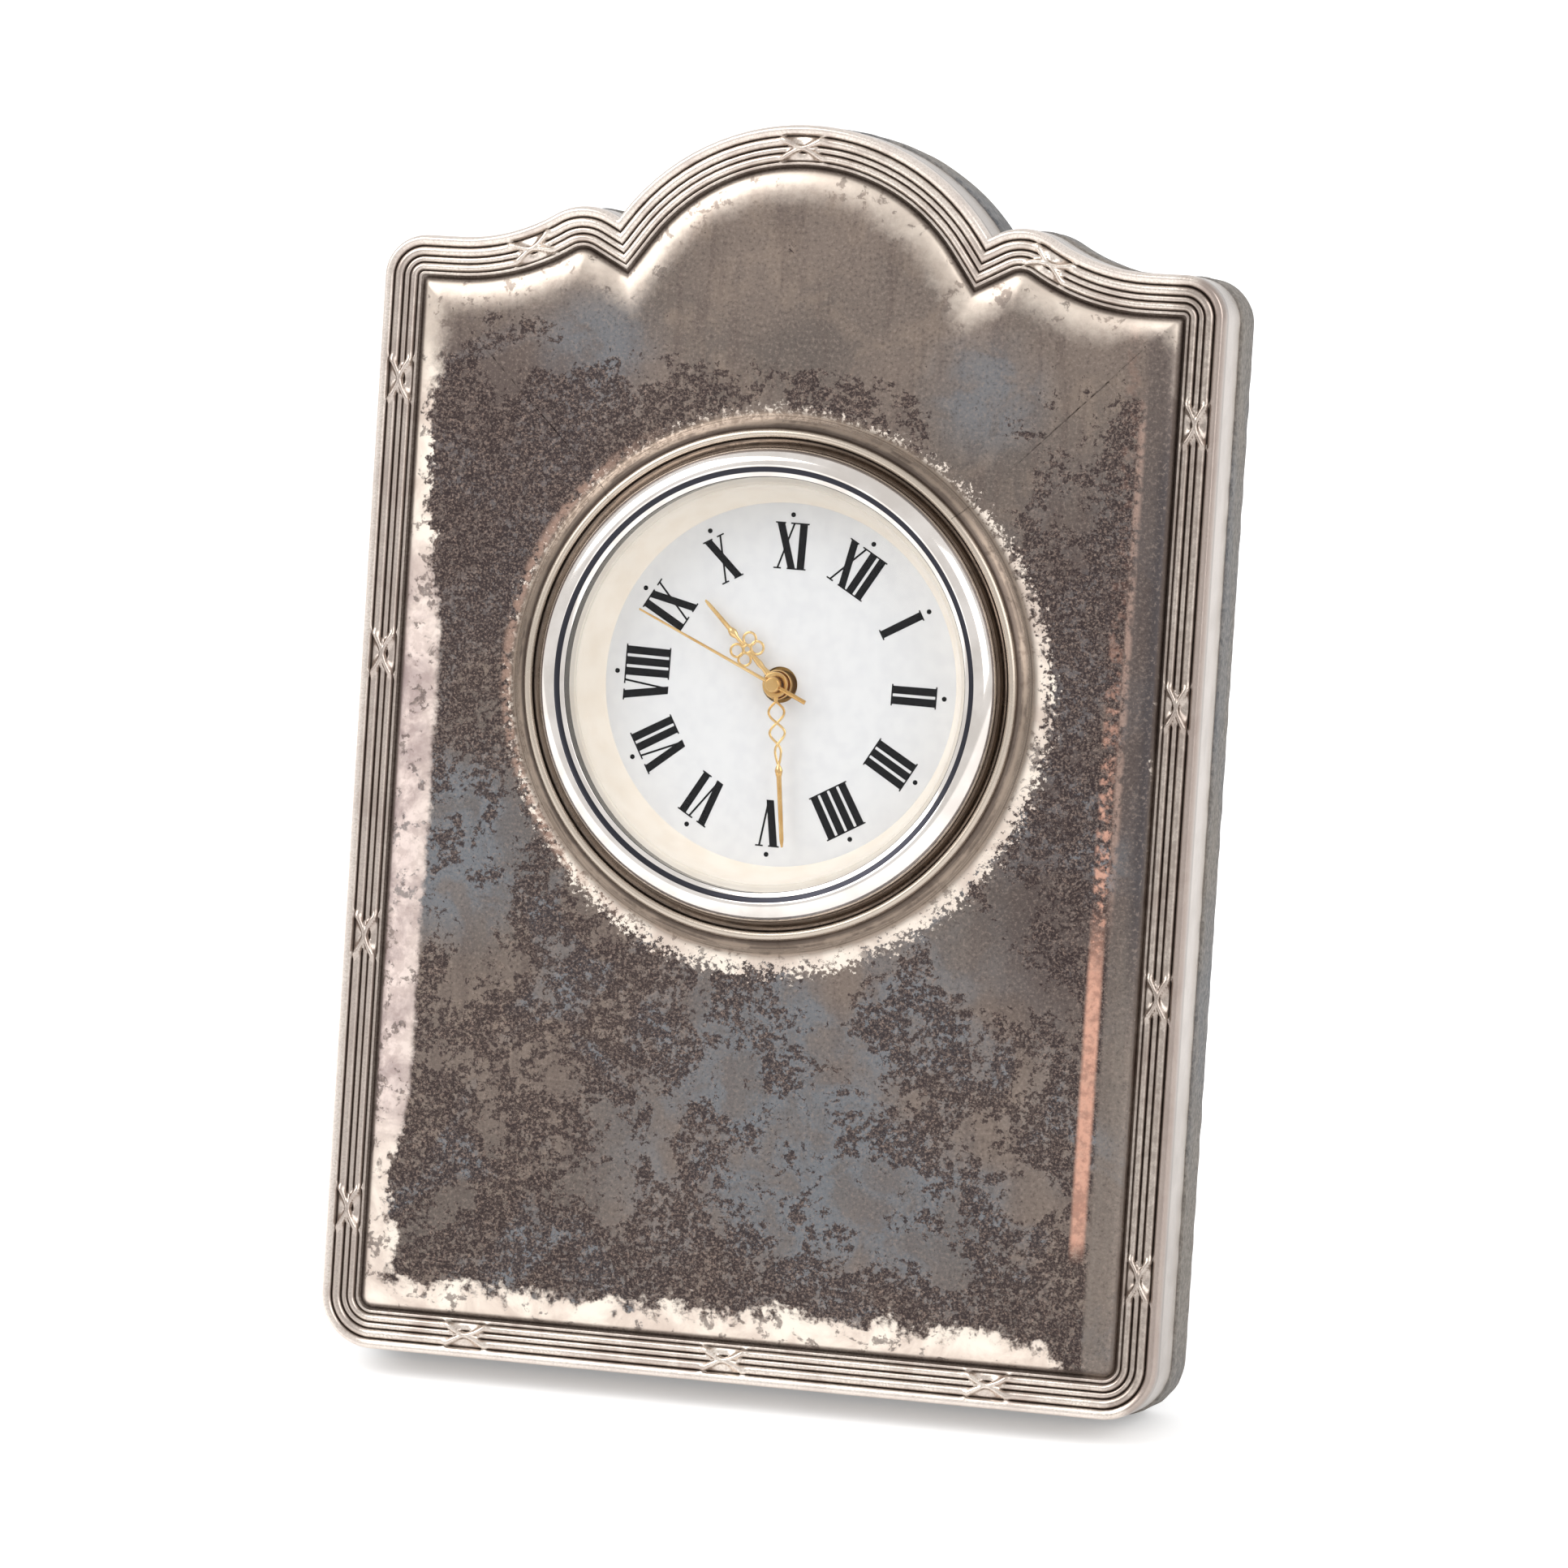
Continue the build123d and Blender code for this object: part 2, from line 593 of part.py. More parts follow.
def rear_bridge():
    """Plate behind the train, open at the battery."""
    body = disc(PILLAR_REACH + PILLAR_RADIUS, BRIDGE_BACK, BRIDGE_FRONT)
    body -= disc(BATTERY_RADIUS + LEAST_CORNER, BRIDGE_BACK, BRIDGE_FRONT, BATTERY)
    body -= disc(SET_SHAFT + TRAIN_FIT, BRIDGE_BACK, BRIDGE_FRONT, SETTER)
    for angle in PILLAR_AT:
        body -= disc(SCREW_SHANK, BRIDGE_BACK, BRIDGE_FRONT, polar(PILLAR_REACH, angle))
    for at in (CENTRE, THIRD, IDLER, ROTOR):
        body -= disc(ARBOR + TRAIN_FIT, BRIDGE_BACK, BRIDGE_FRONT, at)
    return body


def bridge_screws():
    """Screws that hold the bridge to the pillars."""
    screws = []
    for angle in PILLAR_AT:
        at = polar(PILLAR_REACH, angle)
        head = disc(SCREW_HEAD, BRIDGE_BACK - LEAST_CORNER, BRIDGE_BACK, at)
        screws.append(head + disc(SCREW_SHANK, BRIDGE_BACK, PLATE_BACK, at))
    return Compound(children=screws)


CELL_FRONT = PLATE_BACK - CONTACT_THICK
CELL_BACK = CELL_FRONT - BATTERY_THICK


def battery_spring():
    """Flat contact under the button cell."""
    return disc(BATTERY_RADIUS * 0.6, CELL_FRONT, PLATE_BACK, BATTERY)


def battery_clip():
    """Curved contact that presses on the side of the button cell."""
    inner = BATTERY_RADIUS + TRAIN_FIT
    body = ring(inner + LEAST_CORNER, inner, CELL_BACK + BATTERY_THICK / 2, PLATE_BACK, BATTERY)
    half = BATTERY_RADIUS * 2
    keep = Pos(0, 0, CELL_BACK) * extrude(Rectangle(half, half, align=(Align.MIN, Align.MIN)), BATTERY_THICK * 2)
    return body & Pos(BATTERY[0], BATTERY[1], 0) * Rot(0, 0, BATTERY_AT + 135) * keep


# Electronics stand on the bridge, beside the third wheel
BOARD_CORNERS = ((-12.4, -3.9), (-9.0, -3.9), (-5.9, -9.0), (-8.4, -10.8), (-10.5, -8.9))
CAN_AT = (-11.1, -5.9)
CHIP_AT = (-8.4, -7.6)
CHIP_RADIUS = 1.1
BOARD_TOP = BRIDGE_FRONT + BOARD_THICK


def circuit_board():
    """Small board that drives the motor."""
    return Pos(0, 0, BRIDGE_FRONT) * extrude(make_face(Polyline(*BOARD_CORNERS, close=True)), BOARD_THICK)


def driver_chip():
    """Sealed chip on the board."""
    return disc(CHIP_RADIUS, BOARD_TOP, BOARD_TOP + BOARD_THICK, CHIP_AT)


def crystal_can():
    """Timing crystal lying on the board."""
    can = Rot(90, 0, 0) * Cylinder(CAN_RADIUS, CAN_LENGTH)
    return Pos(CAN_AT[0], CAN_AT[1], BOARD_TOP + CAN_RADIUS) * can


def case_cup():
    """Tube of the clock's case, with a ledge under the plate."""
    body = ring(CASE_OUT, CASE_IN, COVER_FRONT, RIM)
    return body + ring(CASE_IN, CASE_IN - LEDGE, PLATE_BACK - LEDGE, PLATE_BACK)


def back_cover():
    """Snap-in back with holes for the set shaft and the battery hatch."""
    body = disc(CASE_OUT, COVER_BACK, COVER_FRONT)
    body += ring(INSIDE, INSIDE - CASE_WALL, COVER_FRONT, BRIDGE_BACK)
    body -= disc(SET_SHAFT + TRAIN_FIT, COVER_BACK, COVER_FRONT, SETTER)
    return body - disc(HATCH_RADIUS, COVER_BACK, COVER_FRONT, BATTERY)


def battery_hatch():
    """Coin-slot plug over the button cell, with two lugs behind the cover."""
    body = disc(HATCH_RADIUS - TRAIN_FIT, COVER_BACK, COVER_FRONT, BATTERY)
    body += disc(BATTERY_RADIUS - LEAST_CORNER, COVER_FRONT, CELL_BACK - TRAIN_FIT, BATTERY)
    lug = Pos(0, 0, COVER_FRONT + TRAIN_FIT) * extrude(
        Rectangle(2 * (HATCH_RADIUS + HATCH_LUG), LUG_WIDTH), COVER_SPACE / 2)
    body += Pos(BATTERY[0], BATTERY[1], 0) * Rot(0, 0, BATTERY_AT + 90) * lug
    body += disc(BATTERY_RADIUS - LEAST_CORNER, COVER_FRONT, COVER_FRONT + COVER_SPACE / 2, BATTERY)
    slot = Pos(BATTERY[0], BATTERY[1], COVER_BACK) * Box(2 * BATTERY_RADIUS, COIN_SLOT, COVER_THICK)
    return body - slot


def hand(level, angle, shape):
    """Flat hand cut from sheet, pointing clockwise from twelve."""
    return Pos(0, 0, level) * Rot(0, 0, -angle) * extrude(shape, HAND_THICK)


def scrolls(places, radius, eye):
    """Row of small pierced rounds along a hand, as (side, height) places."""
    shape = Sketch()
    for place in places:
        shape += Pos(*place) * Circle(radius)
    for place in places:
        shape -= Pos(*place) * Circle(eye)
    return shape


def blade(low, high, foot, tip):
    """Straight tapered stretch of a hand."""
    return make_face(Polyline((-foot, low), (foot, low), (tip, high), (-tip, high), close=True))


HAND_STEM = 0.28         # half width of a hand's stem
HAND_TIP = 0.1           # half width at its point


def hour_hand():
    """Hour hand with a pierced rosette and a spear point."""
    heart = 0.36 * HOUR_LENGTH
    shape = blade(0, heart, HAND_STEM, HAND_STEM) + Circle(HUB_RADIUS + 2 * TRAIN_FIT)
    shape += scrolls([(-0.7, heart), (0.7, heart), (0, heart + 0.85)], 0.68, 0.3)
    shape += blade(heart + 1.2, 0.78 * HOUR_LENGTH, HAND_STEM, 0.6 * HAND_STEM)
    shape += blade(0.72 * HOUR_LENGTH, HOUR_LENGTH, 1.7 * HAND_STEM, HAND_TIP)
    return hand(HOUR_HAND, HOUR_ANGLE, shape - Circle(HOUR_TUBE))


def minute_hand():
    """Minute hand with a row of small scrolls and a long needle point."""
    start = 0.2 * MINUTE_LENGTH
    step = 0.085 * MINUTE_LENGTH
    places = [(HAND_STEM * (-1) ** number, start + number * step) for number in range(3)]
    shape = blade(0, start, HAND_STEM, HAND_STEM) + Circle(HUB_RADIUS) + scrolls(places, 0.55, 0.22)
    shape += blade(start + 2.3 * step, 0.62 * MINUTE_LENGTH, 1.6 * HAND_STEM, HAND_STEM)
    shape += blade(0.6 * MINUTE_LENGTH, MINUTE_LENGTH, HAND_STEM, HAND_TIP)
    return hand(MINUTE_HAND, MINUTE_ANGLE, shape - Circle(CANNON_TUBE))


def second_hand():
    """Needle with a tail and a round boss."""
    shape = blade(-SECOND_TAIL, SECOND_LENGTH, 1.3 * HAND_TIP, HAND_TIP) + Circle(0.85 * HUB_RADIUS)
    return hand(SECOND_HAND, SECOND_ANGLE, shape)


# Strut and hinge: built folded flat, then opened to its stop
HINGE_DEPTH = BACK_FACE - KNUCKLE - KNUCKLE_CLEAR
CLOSED_GAP = LEAST_CORNER
LEAF_FRONT = BACK_FACE - CLOSED_GAP
STRUT_FRONT = LEAF_FRONT - LEAF_THICK
STRUT_BACK = STRUT_FRONT - STRUT_THICK
STRUT_START = HINGE_HEIGHT - KNUCKLE - LEAST_CORNER
TABLE = -VELVET_PROUD * cos(radians(LEAN)) + (BACK_FACE + BACK_EDGE) * sin(radians(LEAN))
HINGE_RISE = HINGE_HEIGHT * cos(radians(LEAN)) + HINGE_DEPTH * sin(radians(LEAN)) - TABLE
STRUT_OFFSET = (STRUT_FRONT + STRUT_BACK) / 2 - HINGE_DEPTH
STRUT_LENGTH = sqrt(HINGE_RISE**2 + STRUT_REACH**2 - STRUT_OFFSET**2)
OPENING = LEAN + degrees(atan2(STRUT_REACH, HINGE_RISE) + atan2(STRUT_OFFSET, STRUT_LENGTH))
THIRD_OF_HINGE = HINGE_WIDTH / 3
RIVET_DROP = 0.62 * LEAF_HEIGHT


def opened(shape):
    """Swing a folded strut piece open to its stop."""
    hinge = Pos(0, HINGE_HEIGHT, HINGE_DEPTH)
    return hinge * Rot(OPENING, 0, 0) * hinge.inverse() * shape


def below_table():
    """Block that fills everything under the table."""
    span = 4 * WIDTH
    return Pos(0, TABLE * cos(radians(LEAN)), TABLE * sin(radians(LEAN))) * Rot(LEAN, 0, 0) * (
        Pos(0, -span / 2, 0) * Box(span, span, span))


def strut_slab(edge, front, back, end):
    """Tapered strut board between two levels, set in by an edge."""
    spread = (STRUT_FOOT - STRUT_TOP) / 2 * (STRUT_START - end) / STRUT_LENGTH
    top = STRUT_TOP / 2 - edge
    foot = STRUT_TOP / 2 + spread - edge
    corners = Polyline((-top, STRUT_START - edge), (top, STRUT_START - edge), (foot, end), (-foot, end), close=True)
    plate = Pos(0, 0, back) * extrude(make_face(corners), front - back)
    return fillet(plate.edges().filter_by(Axis.Z).sort_by(Axis.Y)[-2:], 2 * KNUCKLE)


STRUT_END = HINGE_HEIGHT - STRUT_LENGTH
STRUT_CORE_END = STRUT_END + 2 * VELVET


def strut_core(gap):
    """Inner board of the strut, or the pocket for it when a gap is given."""
    return strut_slab(VELVET - gap, STRUT_FRONT - VELVET + gap, STRUT_BACK + VELVET - gap, STRUT_CORE_END - gap)


def rivet_places(side):
    """Rivets of a hinge leaf: above the pin for side 1, below it for side -1."""
    return [(across, HINGE_HEIGHT + side * RIVET_DROP) for across in (-RIVET_SPREAD, RIVET_SPREAD)]


def drilled(body, side, low, high):
    """Take a hinge leaf's rivet holes out of a piece."""
    for place in rivet_places(side):
        body -= disc(RIVET_RADIUS / 2, low, high, place)
    return body


def strut_velvet():
    """Velvet sleeve of the strut, cut flat where it stands on the table."""
    body = strut_slab(0, STRUT_FRONT, STRUT_BACK, STRUT_END - STRUT_THICK) - strut_core(BOARD_FIT)
    return opened(drilled(body, -1, STRUT_BACK, STRUT_FRONT)) - below_table()


def strut_board():
    """Board inside the strut's velvet."""
    return opened(drilled(strut_core(0), -1, STRUT_BACK, STRUT_FRONT))


def strut_rivets():
    """Rivets through the moving leaf and the strut."""
    rivets = []
    for place in rivet_places(-1):
        head = disc(RIVET_RADIUS, STRUT_BACK - RIVET_RISE, STRUT_BACK, place)
        rivets.append(opened(head + disc(RIVET_RADIUS / 2, STRUT_BACK, LEAF_FRONT, place)))
    return Compound(children=rivets)


def back_rivets():
    """Rivets through the fixed leaf into the back board."""
    rivets = []
    for place in rivet_places(1):
        head = disc(RIVET_RADIUS, BACK_FACE - LEAF_THICK - RIVET_RISE, BACK_FACE - LEAF_THICK, place)
        shank = disc(RIVET_RADIUS / 2, BACK_FACE - LEAF_THICK, BACK_FACE + BACK_DEPTH / 2, place)
        rivets.append(head + shank)
    return Compound(children=rivets)


def knuckle(left, right):
    """Rolled eye of a hinge leaf round the pin."""
    body = Cylinder(KNUCKLE, right - left) - Cylinder(PIN_RADIUS + PIN_FIT, right - left)
    return Pos((left + right) / 2, HINGE_HEIGHT, HINGE_DEPTH) * Rot(0, 90, 0) * body


def leaf_plate(side, back, spans):
    """Flat of a hinge leaf on one side of the pin, joined to its knuckles over spans of its width."""
    clear = KNUCKLE + LEAST_CORNER / 2
    flat = (HINGE_WIDTH, LEAF_HEIGHT - clear, LEAF_THICK)
    middle = HINGE_HEIGHT + side * (LEAF_HEIGHT + clear) / 2
    body = Pos(0, middle, back + LEAF_THICK / 2) * Box(*flat)
    for left, right in spans:
        reach = Pos((left + right) / 2, HINGE_HEIGHT + side * clear / 2, back + LEAF_THICK / 2)
        body += reach * Box(right - left, clear, LEAF_THICK) + knuckle(left, right)
    return body - Pos(0, HINGE_HEIGHT, HINGE_DEPTH) * Rot(0, 90, 0) * Cylinder(PIN_RADIUS + PIN_FIT, HINGE_WIDTH)


def fixed_leaf():
    """Hinge leaf on the back, with the two outer knuckles."""
    half = HINGE_WIDTH / 2
    inner = THIRD_OF_HINGE / 2 + KNUCKLE_GAP
    body = leaf_plate(1, BACK_FACE - LEAF_THICK, ((-half, -inner), (inner, half)))
    return drilled(body, 1, BACK_FACE - LEAF_THICK, BACK_FACE)


def moving_leaf():
    """Hinge leaf on the strut, with the middle knuckle."""
    half = THIRD_OF_HINGE / 2
    body = leaf_plate(-1, STRUT_FRONT, ((-half, half),))
    return opened(drilled(body, -1, STRUT_FRONT, LEAF_FRONT))


def hinge_pin():
    """Pin through the knuckles."""
    return Pos(0, HINGE_HEIGHT, HINGE_DEPTH) * Rot(0, 90, 0) * Cylinder(PIN_RADIUS, HINGE_WIDTH)


def insert(shape):
    """Set a piece of the clock into its hole, turned as it sits."""
    return clock(Rot(0, 0, INSERT_TURN) * shape)


LENS_RADIUS = CASE_OUT - GASKET_WIDTH
GASKET_IN = LENS_RADIUS + TRAIN_FIT / 2
DIAL_HOLE = HOUR_TUBE + LEAST_CORNER

frame_pieces = {
    "silver_front": silver_front(),
    "filler_board": filler_board(),
    "back_board": drilled(back_board(), 1, BACK_FACE, BACK_FACE + BACK_DEPTH / 2),
    "back_velvet": drilled(back_velvet(), 1, BACK_FACE, BACK_FACE + VELVET),
    "fixed_leaf": fixed_leaf(),
    "back_rivets": back_rivets(),
    "hinge_pin": hinge_pin(),
    "moving_leaf": moving_leaf(),
    "strut_board": strut_board(),
    "strut_velvet": strut_velvet(),
    "strut_rivets": strut_rivets(),
}
clock_pieces = {
    "grip_ring": grip_ring(),
    "case_cup": case_cup(),
    "bezel": bezel(),
    "lens": disc(LENS_RADIUS, RIM, LENS_TOP),
    "lens_gasket": ring(CASE_OUT, GASKET_IN, RIM, LENS_TOP),
    "rehaut_ring": rehaut_ring(),
    "dial": ring(INSIDE, DIAL_HOLE, DIAL_BACK, DIAL_TOP),
    "main_plate": main_plate(),
    "rear_bridge": rear_bridge(),
    "bridge_screws": bridge_screws(),
    "stator": stator(),
    "coil_core": coil_core(),
    "coil": coil(),
    "circuit_board": circuit_board(),
    "driver_chip": driver_chip(),
    "crystal_can": crystal_can(),
    "battery": disc(BATTERY_RADIUS, CELL_BACK, CELL_FRONT, BATTERY),
    "battery_spring": battery_spring(),
    "battery_clip": battery_clip(),
    "back_cover": back_cover(),
    "battery_hatch": battery_hatch(),
    "second_hand": second_hand(),
    "second_wheel": second_wheel(),
    "minute_hand": minute_hand(),
    "cannon_pinion": cannon_pinion(),
    "hour_hand": hour_hand(),
    "hour_wheel": hour_wheel(),
    "minute_wheel": minute_wheel(),
    "centre_wheel": centre_wheel(),
    "third_wheel": third_wheel(),
    "idler_wheel": idler_wheel(),
    "rotor": rotor(),
    "set_gear": set_gear(),
    "set_knob": set_knob(),
}
pieces = dict(frame_pieces)
for name, shape in clock_pieces.items():
    pieces[name] = insert(shape)

# Lean the whole clock back and stand it on the table, with the origin under its middle
leaning = {name: Rot(90 - LEAN, 0, 0) * shape for name, shape in pieces.items()}
box = Compound(children=[Compound(shape.solids()) for shape in leaning.values()]).bounding_box()
STAND = Pos(-(box.min.X + box.max.X) / 2, -(box.min.Y + box.max.Y) / 2, -box.min.Z)

os.makedirs("parts", exist_ok=True)
for name, shape in leaning.items():
    export_step(STAND * shape, f"parts/{name}.step")
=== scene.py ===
"""Easel clock with a pressed silver front: the looks of the part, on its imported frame."""
import json
import bmesh
import bpy
import numpy as np
from mathutils import Matrix


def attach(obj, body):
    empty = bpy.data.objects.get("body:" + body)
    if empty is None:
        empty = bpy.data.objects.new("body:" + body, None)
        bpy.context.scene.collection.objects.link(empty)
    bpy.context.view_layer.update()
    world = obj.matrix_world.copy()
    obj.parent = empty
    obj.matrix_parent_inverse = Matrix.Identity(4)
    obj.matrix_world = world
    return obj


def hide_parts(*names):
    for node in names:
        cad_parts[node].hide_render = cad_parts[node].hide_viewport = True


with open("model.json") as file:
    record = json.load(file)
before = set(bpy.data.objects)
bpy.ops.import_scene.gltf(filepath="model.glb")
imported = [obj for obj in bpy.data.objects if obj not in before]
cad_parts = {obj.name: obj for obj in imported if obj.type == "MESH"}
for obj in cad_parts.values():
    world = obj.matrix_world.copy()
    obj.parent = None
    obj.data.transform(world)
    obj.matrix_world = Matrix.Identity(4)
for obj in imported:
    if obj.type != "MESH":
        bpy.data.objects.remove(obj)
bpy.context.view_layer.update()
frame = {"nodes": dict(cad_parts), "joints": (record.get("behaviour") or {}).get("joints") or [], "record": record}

MM = 0.001

# Outline of the silver front, in millimetres
WIDTH = 67.0
SHOULDER = 86.9
ARCH_TOP = 96.8
ARCH_RADIUS = 17.9
COVE_X = 27.5
BUMP_X = 17.4
BUMP_TOP = 89.75
BUMP_RADIUS = 4.8
TOP_CORNER = 3.3
FOOT_CORNER = 4.2
VALLEY_LEAD = 0.5
LEAST_CORNER = 0.3

# Relief across the border: each reed as (start, width, share of the height), then groove and pillow
FLANGE_DEPTH = 5.6
SHEET = 0.45
LIP_CREST = 0.34
LIP_WIDTH = 0.88
LIP_DROP = 0.9
FLANGE_ROWS = (-FLANGE_DEPTH, -4.6, -3.6, -2.6, -1.6)
REEDS = ((0.88, 0.74, 1.0), (1.64, 0.5, 0.6), (2.16, 0.6, 0.95), (2.79, 0.3, 0.3))
REED_HEIGHT = 0.4
REED_MIDDLE = 1.82
GROOVE_START = 3.1
FIELD_EDGE = 3.3
GROOVE_DEPTH = 0.62
PILLOW_WIDTH = 2.6
FIELD = 0.3
FIELD_START = FIELD_EDGE + PILLOW_WIDTH
FIELD_ROWS = 15

# Collar and clock
CLOCK_HEIGHT = 53.9
HOLE_RADIUS = 17.4
COLLAR_RADIUS = 21.1
BEAD_RADIUS = 19.22
BEAD_WIDTH = 0.4
COLLAR_INSIDE = 18.3
BEAD_TOP = 1.5
SEAT = 0.9
BEZEL_RADIUS = 18.25
BEZEL_FOOT = 1.25
BEZEL_TOP = 2.95
CREST_RADIUS = 16.8
BEVEL_RADIUS = 16.62
BLACK_RADIUS = 16.24
LIP_RADIUS = 15.9
CASE_OUT = 16.2
LENS_RADIUS = 15.85
LENS_TOP = 2.6
RIM = 1.4
INSIDE = 15.45
DIAL_TOP = -2.1
DIAL_RADIUS = 14.0
INSERT_TURN = -31.0

# Velvet back and strut
BACK_FACE = -10.4
VELVET = 0.6
VELVET_PROUD = 0.15
BACK_EDGE = 0.8
HINGE_HEIGHT = 30.2
HINGE_DEPTH = -11.52
STRUT_FRONT = -11.15
STRUT_BACK = -13.75
STRUT_START = 28.9
STRUT_TOP = 20.0
STRUT_FOOT = 27.0
STRUT_CORNER = 2.0
WALL_NAP = 0.025
REAR_NAP = 0.05
STRUT_NAP = 0.03

# Crossed ribbon ties on the border, as (across, up) places
TIES = (
    (33.5, 75.3), (33.5, 54.2), (33.5, 32.5), (33.5, 11.1),
    (-33.5, 75.3), (-33.5, 54.2), (-33.5, 32.5), (-33.5, 11.1),
    (-21.5, 0.0), (-0.6, 0.0), (20.5, 0.0),
    (-22.2, 87.9), (-0.4, 96.8), (20.4, 88.5),
)
TIE_HALF_LENGTH = 1.8
TIE_HALF_WIDTH = 0.9
TIE_BAND = 0.24
TIE_RISE = 0.2
TIE_SPLAY = 1.4
TIE_SINK = 0.6

# Columns round the outline: the step in plain runs and at a tie, in millimetres, and the counts of each run
PLAIN_STEP = 1.1
TIE_STEP = 0.25
LEAST_COLUMNS = (4, 14, 4, 12, 4, 14, 22, 3, 3, 26)
BACK_COLUMNS = (66, 14, 170, 12, 8, 26, 26, 4, 4, 46)

# The leaning face: its own directions, and the foot of its outline
joints = {joint["name"]: joint for joint in frame["joints"]}
OUT = np.array(joints["clock_turn"]["axis"])
ACROSS = np.array([1.0, 0.0, 0.0])
UP = np.cross(OUT, ACROSS)
FOOT = np.array(joints["clock_turn"]["pos_m"]) - CLOCK_HEIGHT * MM * UP


def on_face(across, up, out):
    """World points from millimetres across, up and out of the leaning face: foot + a*A + u*U + o*N."""
    across, up, out = (np.asarray(part, float)[..., None] for part in np.broadcast_arrays(across, up, out))
    return FOOT + MM * (across * ACROSS + up * UP + out * OUT)


def on_clock(radius, angle, out):
    """World points from a radius and an angle round the clock's axis, in degrees from the right."""
    turn = np.radians(angle)
    return on_face(radius * np.cos(turn), CLOCK_HEIGHT + radius * np.sin(turn), out)


def smooth(value, low, high):
    """Smooth step: 0 up to low, 1 from high, and 3t^2 - 2t^3 between."""
    share = np.clip((value - low) / (high - low), 0, 1)
    return share * share * (3 - 2 * share)


def grid_faces(rows, columns, round_rows, round_columns):
    """Corner numbers of the faces of a grid; a round direction joins its last line to its first."""
    index = np.arange(rows * columns).reshape(rows, columns)
    if round_rows:
        index = np.vstack([index, index[:1]])
    if round_columns:
        index = np.hstack([index, index[:, :1]])
    corners = [index[:-1, :-1], index[:-1, 1:], index[1:, 1:], index[1:, :-1]]
    return np.stack(corners, axis=-1).reshape(-1, 4)


def skin(name, grids, round_rows=False, round_columns=True, sharp=40, values=None):
    """Mesh piece over one or more grids of points, with doubled points merged and faces turned outwards."""
    points = np.concatenate([grid.reshape(-1, 3) for grid in grids])
    starts = np.cumsum([0] + [grid.shape[0] * grid.shape[1] for grid in grids])
    faces = np.concatenate([
        start + grid_faces(grid.shape[0], grid.shape[1], round_rows, round_columns)
        for start, grid in zip(starts, grids)])
    mesh = bpy.data.meshes.new(name)
    mesh.vertices.add(len(points))
    mesh.vertices.foreach_set("co", points.ravel())
    mesh.loops.add(faces.size)
    mesh.loops.foreach_set("vertex_index", faces.ravel().astype(np.int32))
    mesh.polygons.add(len(faces))
    mesh.polygons.foreach_set("loop_start", np.arange(0, faces.size, 4, dtype=np.int32))
    mesh.update(calc_edges=True)
    for label, data in (values or {}).items():
        kind = "FLOAT_VECTOR" if data.ndim == 3 else "FLOAT"
        attribute = mesh.attributes.new(label, kind, "POINT")
        attribute.data.foreach_set("vector" if data.ndim == 3 else "value", data.ravel().astype(np.float32))
    work = bmesh.new()
    work.from_mesh(mesh)
    bmesh.ops.remove_doubles(work, verts=work.verts, dist=1e-7)
    bmesh.ops.recalc_face_normals(work, faces=work.faces)
    work.to_mesh(mesh)
    work.free()
    mesh.shade_smooth()
    mesh.set_sharp_from_angle(angle=np.radians(sharp))
    piece = bpy.data.objects.new(name, mesh)
    bpy.context.scene.collection.objects.link(piece)
    return piece


def settle(piece, body, slot, material, *nodes):
    """Ride a piece on its body, give it its finish and say which nodes it stands for; its slot is not used."""
    piece.data.materials.append(material)
    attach(piece, body)
    if nodes:
        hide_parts(*nodes)
    return piece


def line(start, end, share):
    """Points at shares of the way from start to end: start + (end - start) * share, for each row."""
    return tuple(a + (b - a) * share for a, b in zip(start, end))


def arc(centre, radius, low, high, share):
    """Points at shares of the arc about a centre from one angle to another, in radians, for each row."""
    turn = low + (high - low) * share
    return centre[0] + radius * np.cos(turn), centre[1] + radius * np.sin(turn)


